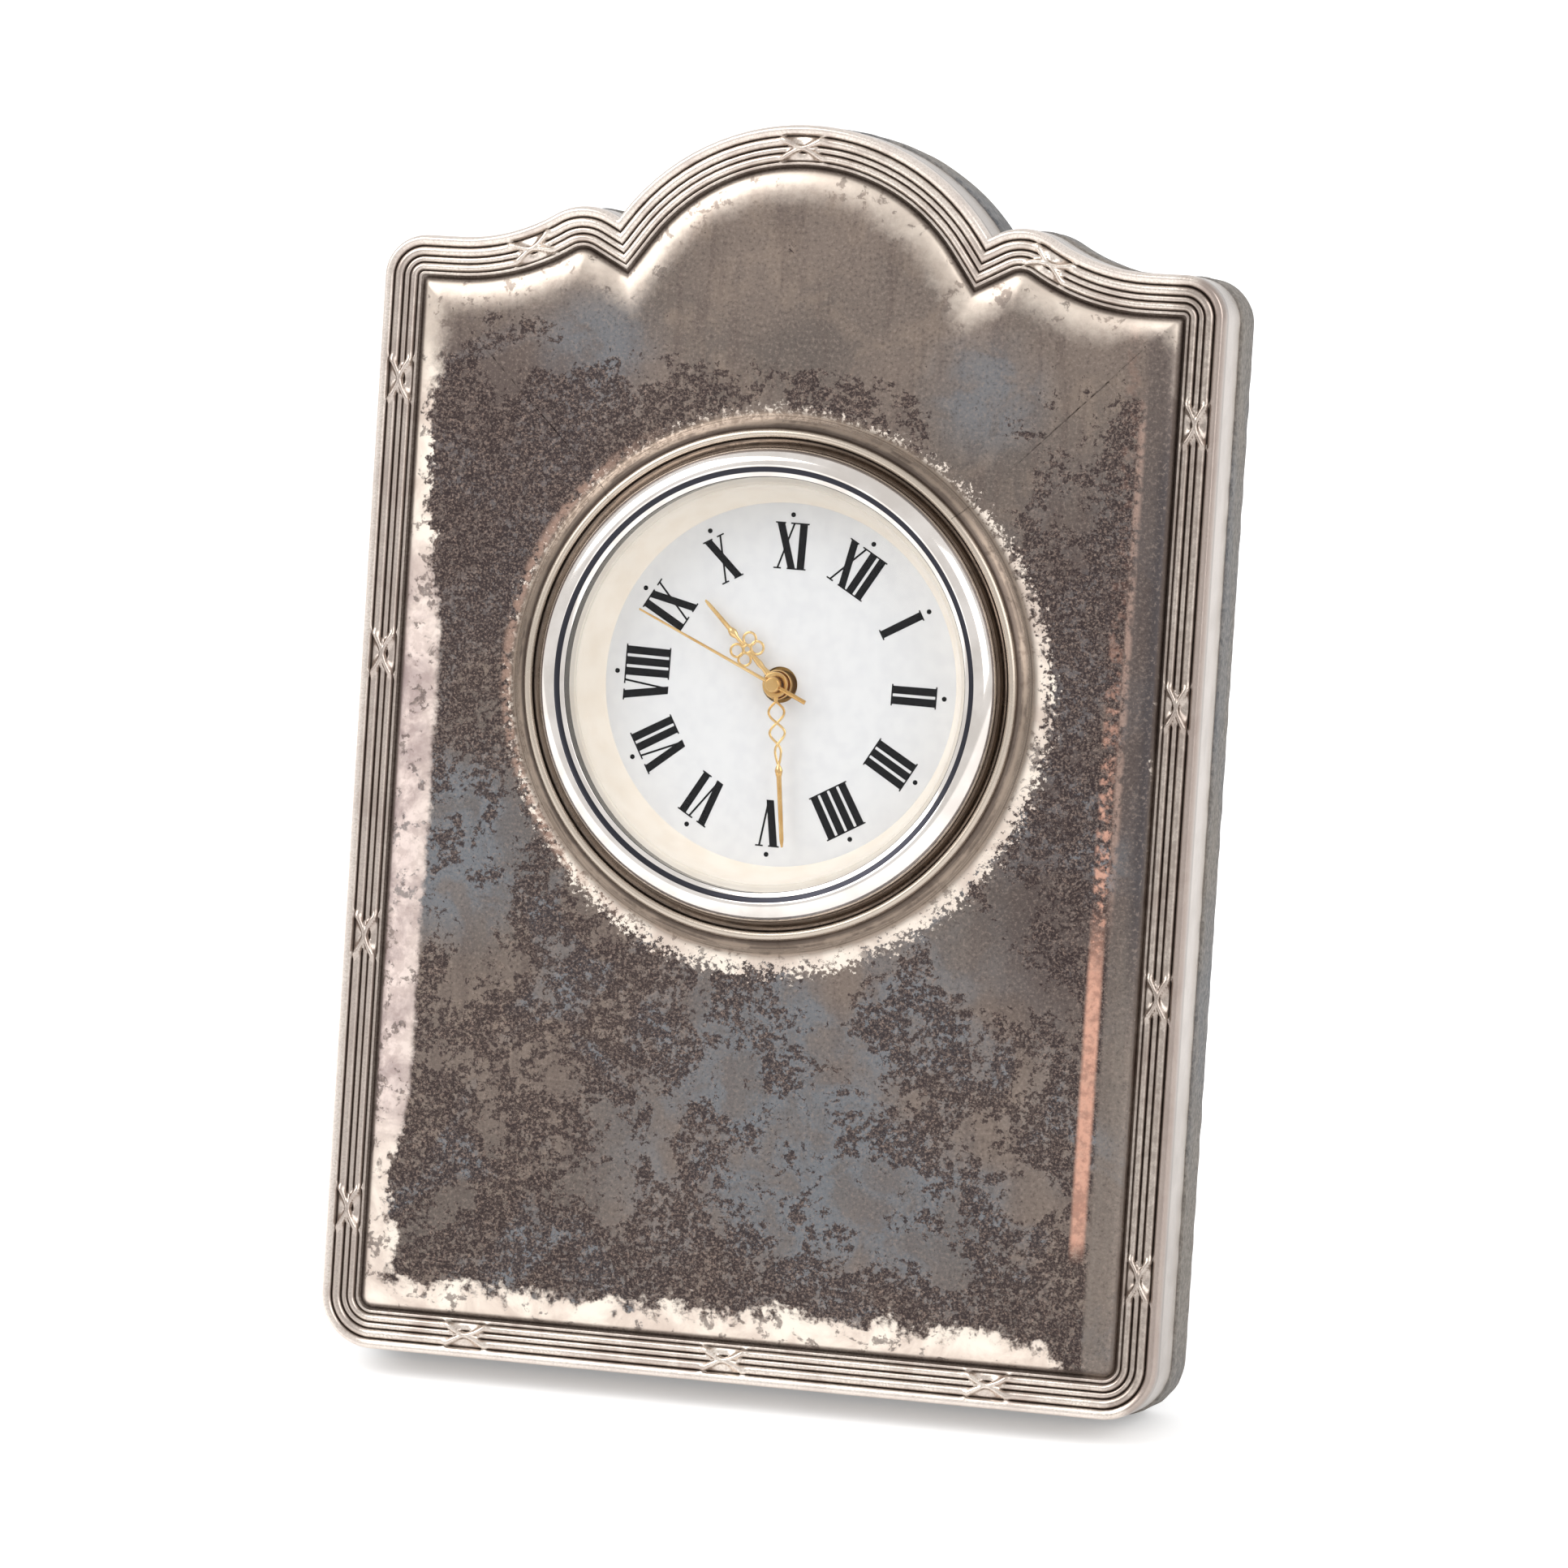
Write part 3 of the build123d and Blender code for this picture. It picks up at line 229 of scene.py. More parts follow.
def half_outline(inset, spans):
    """Right half of the outline from the middle of the foot to the middle of the arch, set in by each inset.

    Ten runs follow each other: foot, corner, side, corner, shoulder, cove, bump, two straight leads of the
    mitred valley, and half of the arch. The cove and bump circles stay tangent at every inset, and each
    run is sampled at its own shares."""
    inset = np.asarray(inset, float)[:, None]
    half = WIDTH / 2 - inset
    foot = np.maximum(FOOT_CORNER - inset, LEAST_CORNER)
    top = np.maximum(TOP_CORNER - inset, LEAST_CORNER)
    shoulder = SHOULDER - inset
    rise = SHOULDER - BUMP_TOP + BUMP_RADIUS
    reach = COVE_X - BUMP_X
    cove = (rise**2 + reach**2 - BUMP_RADIUS**2) / (2 * (BUMP_RADIUS - rise))
    bump_at = np.array([BUMP_X, BUMP_TOP - BUMP_RADIUS])
    cove_at = np.array([COVE_X, SHOULDER + cove])
    arch_at = np.array([0.0, ARCH_TOP - ARCH_RADIUS])
    bump_out = BUMP_RADIUS + VALLEY_LEAD
    arch_out = ARCH_RADIUS + VALLEY_LEAD
    apart = np.hypot(*(bump_at - arch_at))
    toward = np.arctan2(bump_at[1] - arch_at[1], bump_at[0])
    arch_end = toward + np.arccos((arch_out**2 + apart**2 - bump_out**2) / (2 * arch_out * apart))
    valley = arch_at + arch_out * np.array([np.cos(arch_end), np.sin(arch_end)])
    bump_end = np.arctan2(valley[1] - bump_at[1], valley[0] - bump_at[0])
    middle = (bump_end + arch_end) / 2
    mitre = (inset + VALLEY_LEAD) / np.cos((bump_end - arch_end) / 2)
    notch = (valley[0] - mitre * np.cos(middle), valley[1] - mitre * np.sin(middle))
    arch = ARCH_RADIUS - inset
    bump = np.maximum(BUMP_RADIUS - inset, LEAST_CORNER)
    slope = (np.cos(bump_end), np.sin(bump_end))
    depth = inset + VALLEY_LEAD + bump
    away = (valley[0] - slope[0] * depth - cove_at[0], valley[1] - slope[1] * depth - cove_at[1])
    along = away[0] * slope[1] - away[1] * slope[0]
    slide = -along - np.sqrt(along**2 - away[0]**2 - away[1]**2 + (cove + inset + bump)**2)
    centre = (cove_at[0] + away[0] + slide * slope[1], cove_at[1] + away[1] - slide * slope[0])
    start = np.arctan2(cove_at[1] - centre[1], cove_at[0] - centre[0])
    bump_foot = (centre[0] + bump * np.cos(bump_end), centre[1] + bump * np.sin(bump_end))
    arch_foot = (arch * np.cos(arch_end), arch_at[1] + arch * np.sin(arch_end))
    quarter = np.pi / 2
    runs = [
        line((0 * inset, inset), (half - foot, inset), spans[0]),
        arc((half - foot, inset + foot), foot, -quarter, 0, spans[1]),
        line((half, inset + foot), (half, shoulder - top), spans[2]),
        arc((half - top, shoulder - top), top, 0, quarter, spans[3]),
        line((half - top, shoulder), (COVE_X + 0 * inset, shoulder), spans[4]),
        arc(cove_at, cove + inset, 3 * quarter, np.pi + start, spans[5]),
        arc(centre, bump, start, bump_end, spans[6]),
        line(bump_foot, notch, spans[7]),
        line(notch, arch_foot, spans[8]),
        arc(arch_at, arch, arch_end, quarter, spans[9]),
    ]
    return tuple(np.hstack([run[axis] + 0 * inset for run in runs]) for axis in (0, 1))


def half_spans(ties):
    """Shares along each of the ten runs: about one column per plain step, and one per tie step near a tie.

    The density 1/plain + sum of exp(-(d/reach)^8)/tie is added up along each run, and its equal shares are
    read back."""
    even = np.linspace(0, 1, 241)
    across, up = half_outline([REED_MIDDLE], [even] * 10)
    spans = []
    for run in range(10):
        part = slice(run * even.size, (run + 1) * even.size)
        u, v = across[0, part], up[0, part]
        step = np.hypot(np.gradient(u), np.gradient(v))
        density = np.full(even.size, 1 / PLAIN_STEP)
        for tie_across, tie_up in ties:
            far = np.hypot(u - tie_across, v - tie_up) / (1.6 * TIE_HALF_LENGTH + REED_MIDDLE)
            density += np.exp(-far**8) / TIE_STEP
        total = np.concatenate([[0], np.cumsum((density * step)[1:])])
        count = max(LEAST_COLUMNS[run], int(np.ceil(total[-1])))
        spans.append(np.interp(np.arange(count) / count, total / total[-1], even))
    spans[9] = np.append(spans[9], 1.0)
    return spans


def loop(inset, right, left):
    """Whole outline for each inset: the right half up, then the left half, mirrored, back down."""
    right_across, right_up = half_outline(inset, right)
    left_across, left_up = half_outline(inset, left)
    across = np.hstack([right_across, -left_across[:, -2:0:-1]])
    up = np.hstack([right_up, left_up[:, -2:0:-1]])
    return across, up


def to_collar(across, up, radius):
    """Circles about the clock, in the directions of an outline's points: one row for each radius."""
    turn = np.arctan2(up - CLOCK_HEIGHT, across)
    radius = np.asarray(radius, float)[:, None]
    return radius * np.cos(turn), CLOCK_HEIGHT + radius * np.sin(turn)


def border_profile():
    """Relief from the flange to the flat field as rows of (inset, level, patina).

    The lip is two quarter ellipses, each reed half an ellipse, the groove a smooth step, and the pillow a
    quarter ellipse up to the field. Patina is 1 where polish never reaches."""
    quarter = np.linspace(0, np.pi / 2, 7)
    half = np.linspace(0, np.pi, 10)[:-1]
    rows = [np.array([[0.0, level, 0.0] for level in FLANGE_ROWS])]
    rows.append(np.c_[LIP_CREST * (1 - np.cos(quarter)), LIP_DROP * (np.sin(quarter) - 1), 0 * quarter][:-1])
    fall = quarter[:-1]
    rows.append(np.c_[LIP_CREST + (LIP_WIDTH - LIP_CREST) * np.sin(fall),
                      REED_HEIGHT * (np.cos(fall) - 1), np.sin(fall)**4])
    for start, width, share in REEDS:
        crown = np.sin(half)
        dull = 1 - crown + 0.5 * (1 - share) * crown
        rows.append(np.c_[start + width / 2 * (1 - np.cos(half)), REED_HEIGHT * (share * crown - 1), dull])
    dip = np.linspace(0, 1, 5)[:-1]
    rows.append(np.c_[GROOVE_START + (FIELD_EDGE - GROOVE_START) * dip,
                      -REED_HEIGHT + (REED_HEIGHT - GROOVE_DEPTH) * smooth(dip, 0, 1), 0.7 + 0.25 * dip])
    rise = np.linspace(0, np.pi / 2, 14)
    way = 1 - np.cos(rise)
    rows.append(np.c_[FIELD_EDGE + PILLOW_WIDTH * way, -GROOVE_DEPTH + (FIELD + GROOVE_DEPTH) * np.sin(rise),
                      0.95 * (1 - smooth(way, 0.02, 0.22))])
    return np.vstack(rows)


def tie_relief(across, up, inset, level):
    """Level of the border with its ribbon ties, and the share of each point that is ribbon.

    At each tie, x runs along the border and y across it. Two bands follow y = w (|x|/l)^splay, to either
    side, and cross at the waist; a band's section is half round, sqrt(1 - (q/b)^2), where q is the distance
    from its line. Outside the bands the reeds sink towards the waist."""
    even = [np.linspace(0, 1, 120)] * 10
    path_across, path_up = loop([REED_MIDDLE], even, even)
    way = np.stack([np.gradient(path_across[0]), np.gradient(path_up[0])])
    way = way / np.maximum(np.hypot(*way), 1e-9)
    share = np.zeros(across.shape)
    y = inset - REED_MIDDLE
    for place in TIES:
        near = np.argmin(np.hypot(path_across[0] - place[0], path_up[0] - place[1]))
        off_across, off_up = across - path_across[0, near], up - path_up[0, near]
        x = off_across * way[0, near] + off_up * way[1, near]
        aside = np.abs(off_across * way[1, near] - off_up * way[0, near])
        along = np.abs(x) / TIE_HALF_LENGTH
        fade = np.where(aside > 3, 0, 1 - smooth(along, 0.75, 1.1))
        arm = TIE_HALF_WIDTH * along**TIE_SPLAY
        slant = TIE_SPLAY * TIE_HALF_WIDTH / TIE_HALF_LENGTH * along**(TIE_SPLAY - 1)
        off = (np.abs(y) - arm) / np.hypot(1, slant)
        band = np.sqrt(np.clip(1 - (off / TIE_BAND)**2, 0, 1))
        outside = fade * smooth(off, 0, 2.5 * TIE_BAND) * (1 - smooth(np.abs(y), 0.95, 1.1))
        level = level - TIE_SINK * outside * (level + REED_HEIGHT)
        crest = -0.55 * REED_HEIGHT + (0.55 * REED_HEIGHT + TIE_RISE) * band
        level = np.where(band > 0, np.maximum(level, crest * fade + (1 - fade) * level), level)
        share = np.maximum(share, fade * smooth(band, 0, 0.6))
    return level, share


def ripple(across, up):
    """Slight unevenness of hand-finished sheet: a sum of slow sine waves."""
    return 0.035 * (np.sin(0.21 * across + 0.13 * up) + np.sin(0.17 * up - 0.11 * across + 1.3)
                    + 0.6 * np.sin(0.37 * across - 0.29 * up + 0.7))


def collar_profile():
    """Collar as rows of (radius, level, patina) from the field in: a flare that steepens as the square of
    its way, a fine line, half an ellipse for the bead, and a slope down to the bezel's seat."""
    way = np.linspace(0, 1, 11)[1:]
    line_at = BEAD_RADIUS + BEAD_WIDTH
    foot = FIELD + 0.6 * (BEAD_TOP - FIELD)
    flare = np.c_[COLLAR_RADIUS + (line_at - COLLAR_RADIUS) * way, FIELD + (foot - FIELD) * way**2,
                  0.1 + 0.2 * way + 0.6 * way**8]
    crown = np.linspace(0.05 * np.pi, np.pi, 14)
    bead = np.c_[BEAD_RADIUS + BEAD_WIDTH * np.cos(crown), foot + (BEAD_TOP - foot) * np.sin(crown),
                 0.9 * (1 - np.sin(crown))**2]
    fall = np.linspace(0, 1, 7)[1:]
    slope = np.c_[BEAD_RADIUS - BEAD_WIDTH - (BEAD_RADIUS - BEAD_WIDTH - COLLAR_INSIDE) * fall,
                  foot + (SEAT - 0.1 - foot) * smooth(fall, 0, 1), 0.05 + 0.2 * fall**2]
    hole = np.array([[HOLE_RADIUS, SEAT - 0.1, 1.0], [HOLE_RADIUS, FIELD - SHEET, 1.0],
                     [BEAD_RADIUS, FIELD - SHEET, 1.0]])
    return np.vstack([flare, bead, slope, hole])


def silver_front(material):
    """Pressed front as one closed skin: columns run round the outline, rows from the flange over the reeds,
    the field, the collar and the hole, then back under the sheet to the flange's inside."""
    right = half_spans([tie for tie in TIES if tie[0] > -3])
    left = half_spans([(-tie[0], tie[1]) for tie in TIES if tie[0] < 3])
    relief = border_profile()
    across, up = loop(relief[:, 0], right, left)
    columns = across.shape[1]
    inset = np.repeat(relief[:, :1], columns, axis=1)
    out = np.repeat(relief[:, 1:2], columns, axis=1)
    patina = np.repeat(relief[:, 2:], columns, axis=1)
    tied, share = tie_relief(across, up, inset, out)
    out = np.where(inset > LIP_CREST, tied, out)
    patina = patina * (1 - share)
    rim_across, rim_up = to_collar(across[-1], up[-1], [COLLAR_RADIUS])
    way = np.linspace(0, 1, FIELD_ROWS + 1)[1:, None]
    field_across = across[-1] + (rim_across - across[-1]) * way
    field_up = up[-1] + (rim_up - up[-1]) * way
    reach = np.hypot(rim_across - across[-1], rim_up - up[-1])
    calm = smooth(way, 0, 0.2) * (1 - smooth(way, 0.8, 1))
    field_out = FIELD + ripple(field_across, field_up) * calm
    collar = collar_profile()
    collar_across, collar_up = to_collar(across[-1], up[-1], collar[:, 0])
    under = np.array([[FIELD_START, FIELD - SHEET], [FIELD_EDGE + SHEET, -GROOVE_DEPTH - SHEET],
                      [SHEET, -GROOVE_DEPTH - SHEET], [SHEET, -FLANGE_DEPTH]])
    under_across, under_up = loop(under[:, 0], right, left)
    spread = np.ones((1, columns))
    across = np.vstack([across, field_across, collar_across, under_across])
    up = np.vstack([up, field_up, collar_up, under_up])
    out = np.vstack([out, field_out, collar[:, 1:2] * spread, under[:, 1:2] * spread])
    edge = np.vstack([inset, FIELD_START + reach * way, (FIELD_START + reach) + 0 * collar_across,
                      0 * under_across])
    patina = np.vstack([patina, 0 * field_across, collar[:, 2:] * spread, 0 * under_across + 1])
    values = {"face": np.stack([across, up, out], axis=-1), "edge": edge, "patina": patina}
    piece = skin("silver_pressing", [on_face(across, up, out)], round_rows=True, sharp=75, values=values)
    return settle(piece, "frame", "silver", material, "silver_front")


def nap(along, across, amount):
    """Soft unevenness of velvet: three crossing sine waves, a few millimetres long."""
    return amount / 2 * (np.sin(2.3 * along + 1.1 * across) + np.sin(1.6 * across - 2.6 * along + 1.0)
                         + np.sin(3.3 * along - 0.5 * across + 2.0))


def back_velvet(material):
    """Velvet skin of the back: columns round the outline, rows along the wall, round the rear edge, over the
    rear to the clock's hole and back inside the skin. The nap lifts each point along its own way out."""
    span = [np.arange(count) / count for count in BACK_COLUMNS]
    span[9] = np.append(span[9], 1.0)
    corner = np.linspace(0, np.pi / 2, 6)
    edge = -VELVET_PROUD
    wall = np.c_[np.full(18, edge), np.linspace(-FLANGE_DEPTH - 0.2, BACK_FACE + BACK_EDGE + 0.15, 18)]
    front = np.array([[VELVET - VELVET_PROUD, -FLANGE_DEPTH], [edge + 0.2, -FLANGE_DEPTH]])
    bend = np.c_[edge + BACK_EDGE * (1 - np.cos(corner)), BACK_FACE + BACK_EDGE * (1 - np.sin(corner))]
    rear = np.c_[np.linspace(1.0, FIELD_START, 12), np.full(12, BACK_FACE)]
    profile = np.vstack([front, wall, bend, rear])
    across, up = loop(profile[:, 0], span, span)
    columns = across.shape[1]
    spread = np.ones((1, columns))
    away_out = np.concatenate([[0, 0], np.ones(18), np.cos(corner), np.zeros(12)])[:, None]
    away_back = np.concatenate([[0, 0], np.zeros(18), np.sin(corner), np.ones(12)])[:, None]
    lift = nap(across + 0.8 * up, profile[:, 1:2] * spread, WALL_NAP)
    inner_across, inner_up = loop(profile[:, 0] + 0.5, span, span)
    width = np.maximum(np.hypot(across - inner_across, up - inner_up), 1e-6)
    across = across + lift * away_out * (across - inner_across) / width
    up = up + lift * away_out * (up - inner_up) / width
    out = profile[:, 1:2] * spread - nap(across, up, REAR_NAP) * away_back
    rim_across, rim_up = to_collar(across[-1], up[-1], [HOLE_RADIUS + 0.3, HOLE_RADIUS, HOLE_RADIUS])
    way = np.linspace(0, 1, 24)[1:, None]
    rear_across = across[-1] + (rim_across[0] - across[-1]) * way
    rear_up = up[-1] + (rim_up[0] - up[-1]) * way
    rear_out = BACK_FACE - nap(rear_across, rear_up, REAR_NAP)
    hole_out = np.array([[BACK_FACE + 0.25], [BACK_FACE + VELVET]]) * spread
    inside = np.array([[FIELD_START, BACK_FACE + VELVET], [VELVET - VELVET_PROUD, BACK_FACE + VELVET]])
    inside_across, inside_up = loop(inside[:, 0], span, span)
    across = np.vstack([across, rear_across, rim_across[1:], inside_across])
    up = np.vstack([up, rear_up, rim_up[1:], inside_up])
    out = np.vstack([out, rear_out, hole_out, inside[:, 1:] * spread])
    points = on_face(across, up, out)
    points[..., 2] = np.maximum(points[..., 2], 0)
    piece = skin("velvet_back", [points], round_rows=True, sharp=80)
    return settle(piece, "frame", "velvet", material, "back_velvet")


def strut_sleeve(thin):
    """Sections of the strut's sleeve, set in by a thickness: rounded oblongs carried down the strut, swung
    out about the hinge pin, each line ending where it meets the table."""
    opening = np.radians(-joints["strut_fold"]["range_deg"][0])
    turn = np.linspace(0, 2 * np.pi, 160, endpoint=False)[None, :]
    side = np.sign(np.cos(turn)) * np.abs(np.cos(turn))**0.12
    face = np.sign(np.sin(turn)) * np.abs(np.sin(turn))**0.35
    drop = np.linspace(0, 1, 60)[:, None]
    top = STRUT_START - thin
    widest = STRUT_TOP / 2 + (STRUT_FOOT - STRUT_TOP) / 2 * drop
    corner = np.sqrt(np.clip(1 - (1 - np.minimum(drop * 15, 1))**2, 0, 1))
    half = widest - thin - STRUT_CORNER * (1 - corner)
    back = (STRUT_FRONT + STRUT_BACK) / 2 - HINGE_DEPTH + ((STRUT_FRONT - STRUT_BACK) / 2 - thin) * face
    down, swing = np.cos(opening), np.sin(opening)
    height = FOOT[2] / MM + HINGE_HEIGHT * UP[2] + HINGE_DEPTH * OUT[2]
    table = -(height + back * (down * OUT[2] - swing * UP[2])) / (down * UP[2] + swing * OUT[2])
    rise = (top - HINGE_HEIGHT) + (table - top + HINGE_HEIGHT) * drop
    lift = nap(rise, 3 * half * side, STRUT_NAP)
    across, back = half * side + lift * side, back + lift * face
    up = HINGE_HEIGHT + rise * down - back * swing
    out = HINGE_DEPTH + rise * swing + back * down
    points = on_face(across, up, out)
    points[-1, :, 2] = 0
    middle = np.repeat(points[:1].mean(axis=1, keepdims=True), turn.size, axis=1)
    return np.concatenate([middle, points])


def strut_velvet(material):
    """Velvet sleeve over the strut, open at the table: down its outside and back up its inside."""
    grid = np.concatenate([strut_sleeve(0.0), strut_sleeve(VELVET)[::-1]])
    piece = skin("velvet_strut", [grid], sharp=60)
    return settle(piece, "strut", "velvet", material, "strut_velvet")


def lathe(name, profile, steps=224, sharp=35):
    """Ring turned about the clock's axis: a closed profile of (radius, level, shade) carried round."""
    profile = np.asarray(profile, float)
    turn = np.linspace(0, 360, steps, endpoint=False)
    grid = on_clock(profile[:, :1], turn[None, :], profile[:, 1:2])
    values = {"shade": profile[:, 2:] + 0 * turn[None, :]} if profile.shape[1] == 3 else None
    return skin(name, [grid], round_rows=True, sharp=sharp, values=values)


def curve(start, through, end, count):
    """Points of a quadratic curve that passes from start to end and leans towards a third point."""
    share = np.linspace(0, 1, count)[:, None]
    start, through, end = (np.asarray(place, float) for place in (start, through, end))
    return start * (1 - share)**2 + through * 2 * share * (1 - share) + end * share**2


def dial_point(across, up, out):
    """World points from millimetres on the dial, where up is towards its twelve."""
    turn = np.radians(INSERT_TURN)
    return on_face(across * np.cos(turn) - up * np.sin(turn),
                   CLOCK_HEIGHT + across * np.sin(turn) + up * np.cos(turn), out)


def turned_clockwise(across, up, angle):
    """Places turned clockwise about the dial's centre by an angle in degrees."""
    turn = np.radians(angle)
    return across * np.cos(turn) + up * np.sin(turn), up * np.cos(turn) - across * np.sin(turn)


def plate(corners, low, high):
    """Thin plate over a convex outline: rows are its middle below, rim below, rim above and middle above."""
    corners = np.asarray(corners, float)
    middle = np.repeat(corners.mean(axis=0)[None], len(corners), axis=0)
    places = np.stack([middle, corners, corners, middle])
    return dial_point(places[..., 0], places[..., 1], np.array([low, low, high, high])[:, None])


NUMERAL_FOOT = 8.9
NUMERAL_HEIGHT = 3.6
THICK_STROKE = 0.3
THIN_STROKE = 0.075
SERIF = 0.11
INK = 0.012
DOT_RADIUS = 13.1
DOT_SIZE = 0.19
LETTER_WIDTH = {"I": 0.82, "V": 1.72, "X": 1.78}
NUMERALS = ("XII", "I", "II", "III", "IIII", "V", "VI", "VII", "VIII", "IX", "X", "XI")


def stroke(foot, head, half):
    """Slanting stroke of a letter, cut level at foot and head."""
    return [(foot - half, 0), (foot + half, 0), (head + half, NUMERAL_HEIGHT), (head - half, NUMERAL_HEIGHT)]


def serif(middle, level, half):
    """Hairline across the end of a stroke."""
    near, far = middle - half, middle + half
    return [(near, level), (far, level), (far, level + SERIF), (near, level + SERIF)]


def letter(shape):
    """Strokes of one Roman letter about its own middle."""
    top = NUMERAL_HEIGHT - SERIF
    if shape == "I":
        return [stroke(0, 0, THICK_STROKE), serif(0, 0, 0.43), serif(0, top, 0.43)]
    if shape == "V":
        return [stroke(0.02, -0.52, THICK_STROKE), stroke(0.12, 0.62, THIN_STROKE),
                serif(-0.52, top, 0.42), serif(0.62, top, 0.3)]
    return [stroke(0.6, -0.52, THICK_STROKE), stroke(-0.58, 0.58, THIN_STROKE),
            serif(-0.52, top, 0.4), serif(0.58, top, 0.3), serif(-0.58, 0, 0.3), serif(0.6, 0, 0.4)]


def dial_print(material):
    """Roman numerals, tops outwards, and a dot beyond each: thin plates of ink on the dial."""
    plates = []
    for hour, numeral in enumerate(NUMERALS):
        widths = [LETTER_WIDTH[shape] for shape in numeral]
        place = -sum(widths) / 2
        for shape, width in zip(numeral, widths):
            for number, corners in enumerate(letter(shape)):
                corners = np.asarray(corners)
                spread = 1 + 0.035 * (corners[:, 1] / NUMERAL_HEIGHT - 0.5)
                across = (place + width / 2 + corners[:, 0]) * spread
                across, up = turned_clockwise(across, NUMERAL_FOOT + corners[:, 1], 30 * hour)
                top = DIAL_TOP + INK * (1 + 0.25 * number)
                plates.append(plate(np.c_[across, up], DIAL_TOP - INK, top))
            place += width
        turn = np.linspace(0, 2 * np.pi, 16, endpoint=False)
        dot = DOT_SIZE * np.cos(turn), DOT_RADIUS + DOT_SIZE * np.sin(turn)
        plates.append(plate(np.c_[turned_clockwise(*dot, 30 * hour)], DIAL_TOP - INK, DIAL_TOP + INK))
    piece = skin("dial_print", plates, sharp=20)
    return settle(piece, "clock_case", "black_plastic", material)


def tube(path, radius, level, flat=0.6, closed=False, sides=10):
    """Round wire along a flat path on the dial: flattened circles of the given radii across its way."""
    path = np.asarray(path, float)
    radius = np.broadcast_to(np.asarray(radius, float), (len(path),))[:, None]
    if closed:
        way = np.roll(path, -1, axis=0) - np.roll(path, 1, axis=0)
    else:
        way = np.gradient(path, axis=0)
    way = way / np.hypot(way[:, :1], way[:, 1:])
    turn = np.linspace(0, 2 * np.pi, sides, endpoint=False)[None, :]
    across = path[:, :1] + way[:, 1:] * radius * np.cos(turn)
    up = path[:, 1:] - way[:, :1] * radius * np.cos(turn)
    out = level + flat * radius * np.sin(turn)
    if closed:
        across, up, out = (np.vstack([part, part[:1]]) for part in (across, up, out))
    else:
        across, up, out = (np.vstack([part[:1] * 0 + part[:1].mean(), part, part[-1:] * 0 + part[-1:].mean()])
                           for part in (across, up, out))
    return across, up, out


HOUR_ANGLE = 283.7
MINUTE_ANGLE = 142.8
SECOND_ANGLE = 263.8
HOUR_LEVEL = -1.4
MINUTE_LEVEL = -0.8
SECOND_LEVEL = -0.2


def hand(name, wires, angle, body, material, *nodes):
    """Hand made of wires that point to twelve, turned clockwise to its place."""
    grids = []
    for across, up, out in wires:
        grids.append(dial_point(*turned_clockwise(across, up, angle), out))
    piece = skin(name, grids, sharp=60)
    return settle(piece, body, "gilt", material, *nodes)


def circle(middle, radius, count=28):
    """Points of a circle on the dial."""
    turn = np.linspace(0, 2 * np.pi, count, endpoint=False)
    return np.c_[middle[0] + radius * np.cos(turn), middle[1] + radius * np.sin(turn)]


def boss(radius, low, high, bore=0.0):
    """Round boss at a hand's centre: rows from its bore out, up over a rounded shoulder, and back in."""
    turn = np.linspace(0, 2 * np.pi, 48, endpoint=False)[None, :]
    rise = np.linspace(0, np.pi / 2, 8)
    wall = radius - bore
    shoulder = radius - 0.2 * wall * (1 - np.cos(rise))
    climb = low + (high - low) * (0.5 + 0.5 * np.sin(rise))
    size = np.concatenate([[bore, radius], shoulder, [bore + 0.35 * wall, bore]])
    level = np.concatenate([[low, low], climb, [high - 0.05, high - 0.05]])
    if bore:
        size, level = np.append(size, bore), np.append(level, low)
    return size[:, None] * np.cos(turn), size[:, None] * np.sin(turn), level[:, None] + 0 * turn


def hour_hand(material):
    """Hour hand: stem, a rosette of four rings about a small fifth, a knot, and a straight needle."""
    heart = 3.65
    wires = [tube([(0, 1.0), (0, 1.7), (0, 2.1), (0, heart - 0.4)], [0.3, 0.18, 0.26, 0.14], HOUR_LEVEL),
             boss(1.15, -1.5, -1.2, 0.88)]
    for side, end in ((1, 1), (-1, 1), (-1, -1), (1, -1)):
        wires.append(tube(circle((0.68 * side, heart + 0.46 * end), 0.5, 26), 0.1, HOUR_LEVEL, closed=True))
    wires.append(tube(circle((0, heart), 0.3, 20), 0.1, HOUR_LEVEL, closed=True))
    needle = (heart + 0.4, 4.9, 5.1, 5.35, 5.6, 5.8, 8.3, 8.7)
    sizes = (0.12, 0.16, 0.28, 0.34, 0.28, 0.19, 0.15, 0.08)
    wires.append(tube([(0, up) for up in needle], sizes, HOUR_LEVEL))
    return hand("gilt_hour_hand", wires, HOUR_ANGLE, "hour_hand", material, "hour_hand")


def minute_hand(material):
    """Minute hand: stem, two scrolls that wind into a chain of three links, a knot, and a long needle."""
    along = np.linspace(0, 1, 72)
    swing = 0.62 * np.sin(3 * np.pi * along) * (1 - 0.7 * smooth(along, 0.45, 0.9))
    chain = 1.3 + 4.9 * along
    wires = [tube([(0, 0.8), (0, 1.1), (0, 1.4)], [0.26, 0.18, 0.14], MINUTE_LEVEL),
             boss(1.0, -0.9, -0.55, 0.57)]
    wires.append(tube(np.c_[swing, chain], 0.1, MINUTE_LEVEL))
    wires.append(tube(np.c_[-swing, chain], 0.1, MINUTE_LEVEL - 0.02))
    wires.append(tube([(0, 6.1), (0, 6.4), (0, 6.6), (0, 6.85), (0, 7.1), (0, 11.9), (0, 12.5)],
                      [0.1, 0.26, 0.32, 0.26, 0.2, 0.17, 0.08], MINUTE_LEVEL))
    return hand("gilt_minute_hand", wires, MINUTE_ANGLE, "minute_hand", material, "minute_hand")


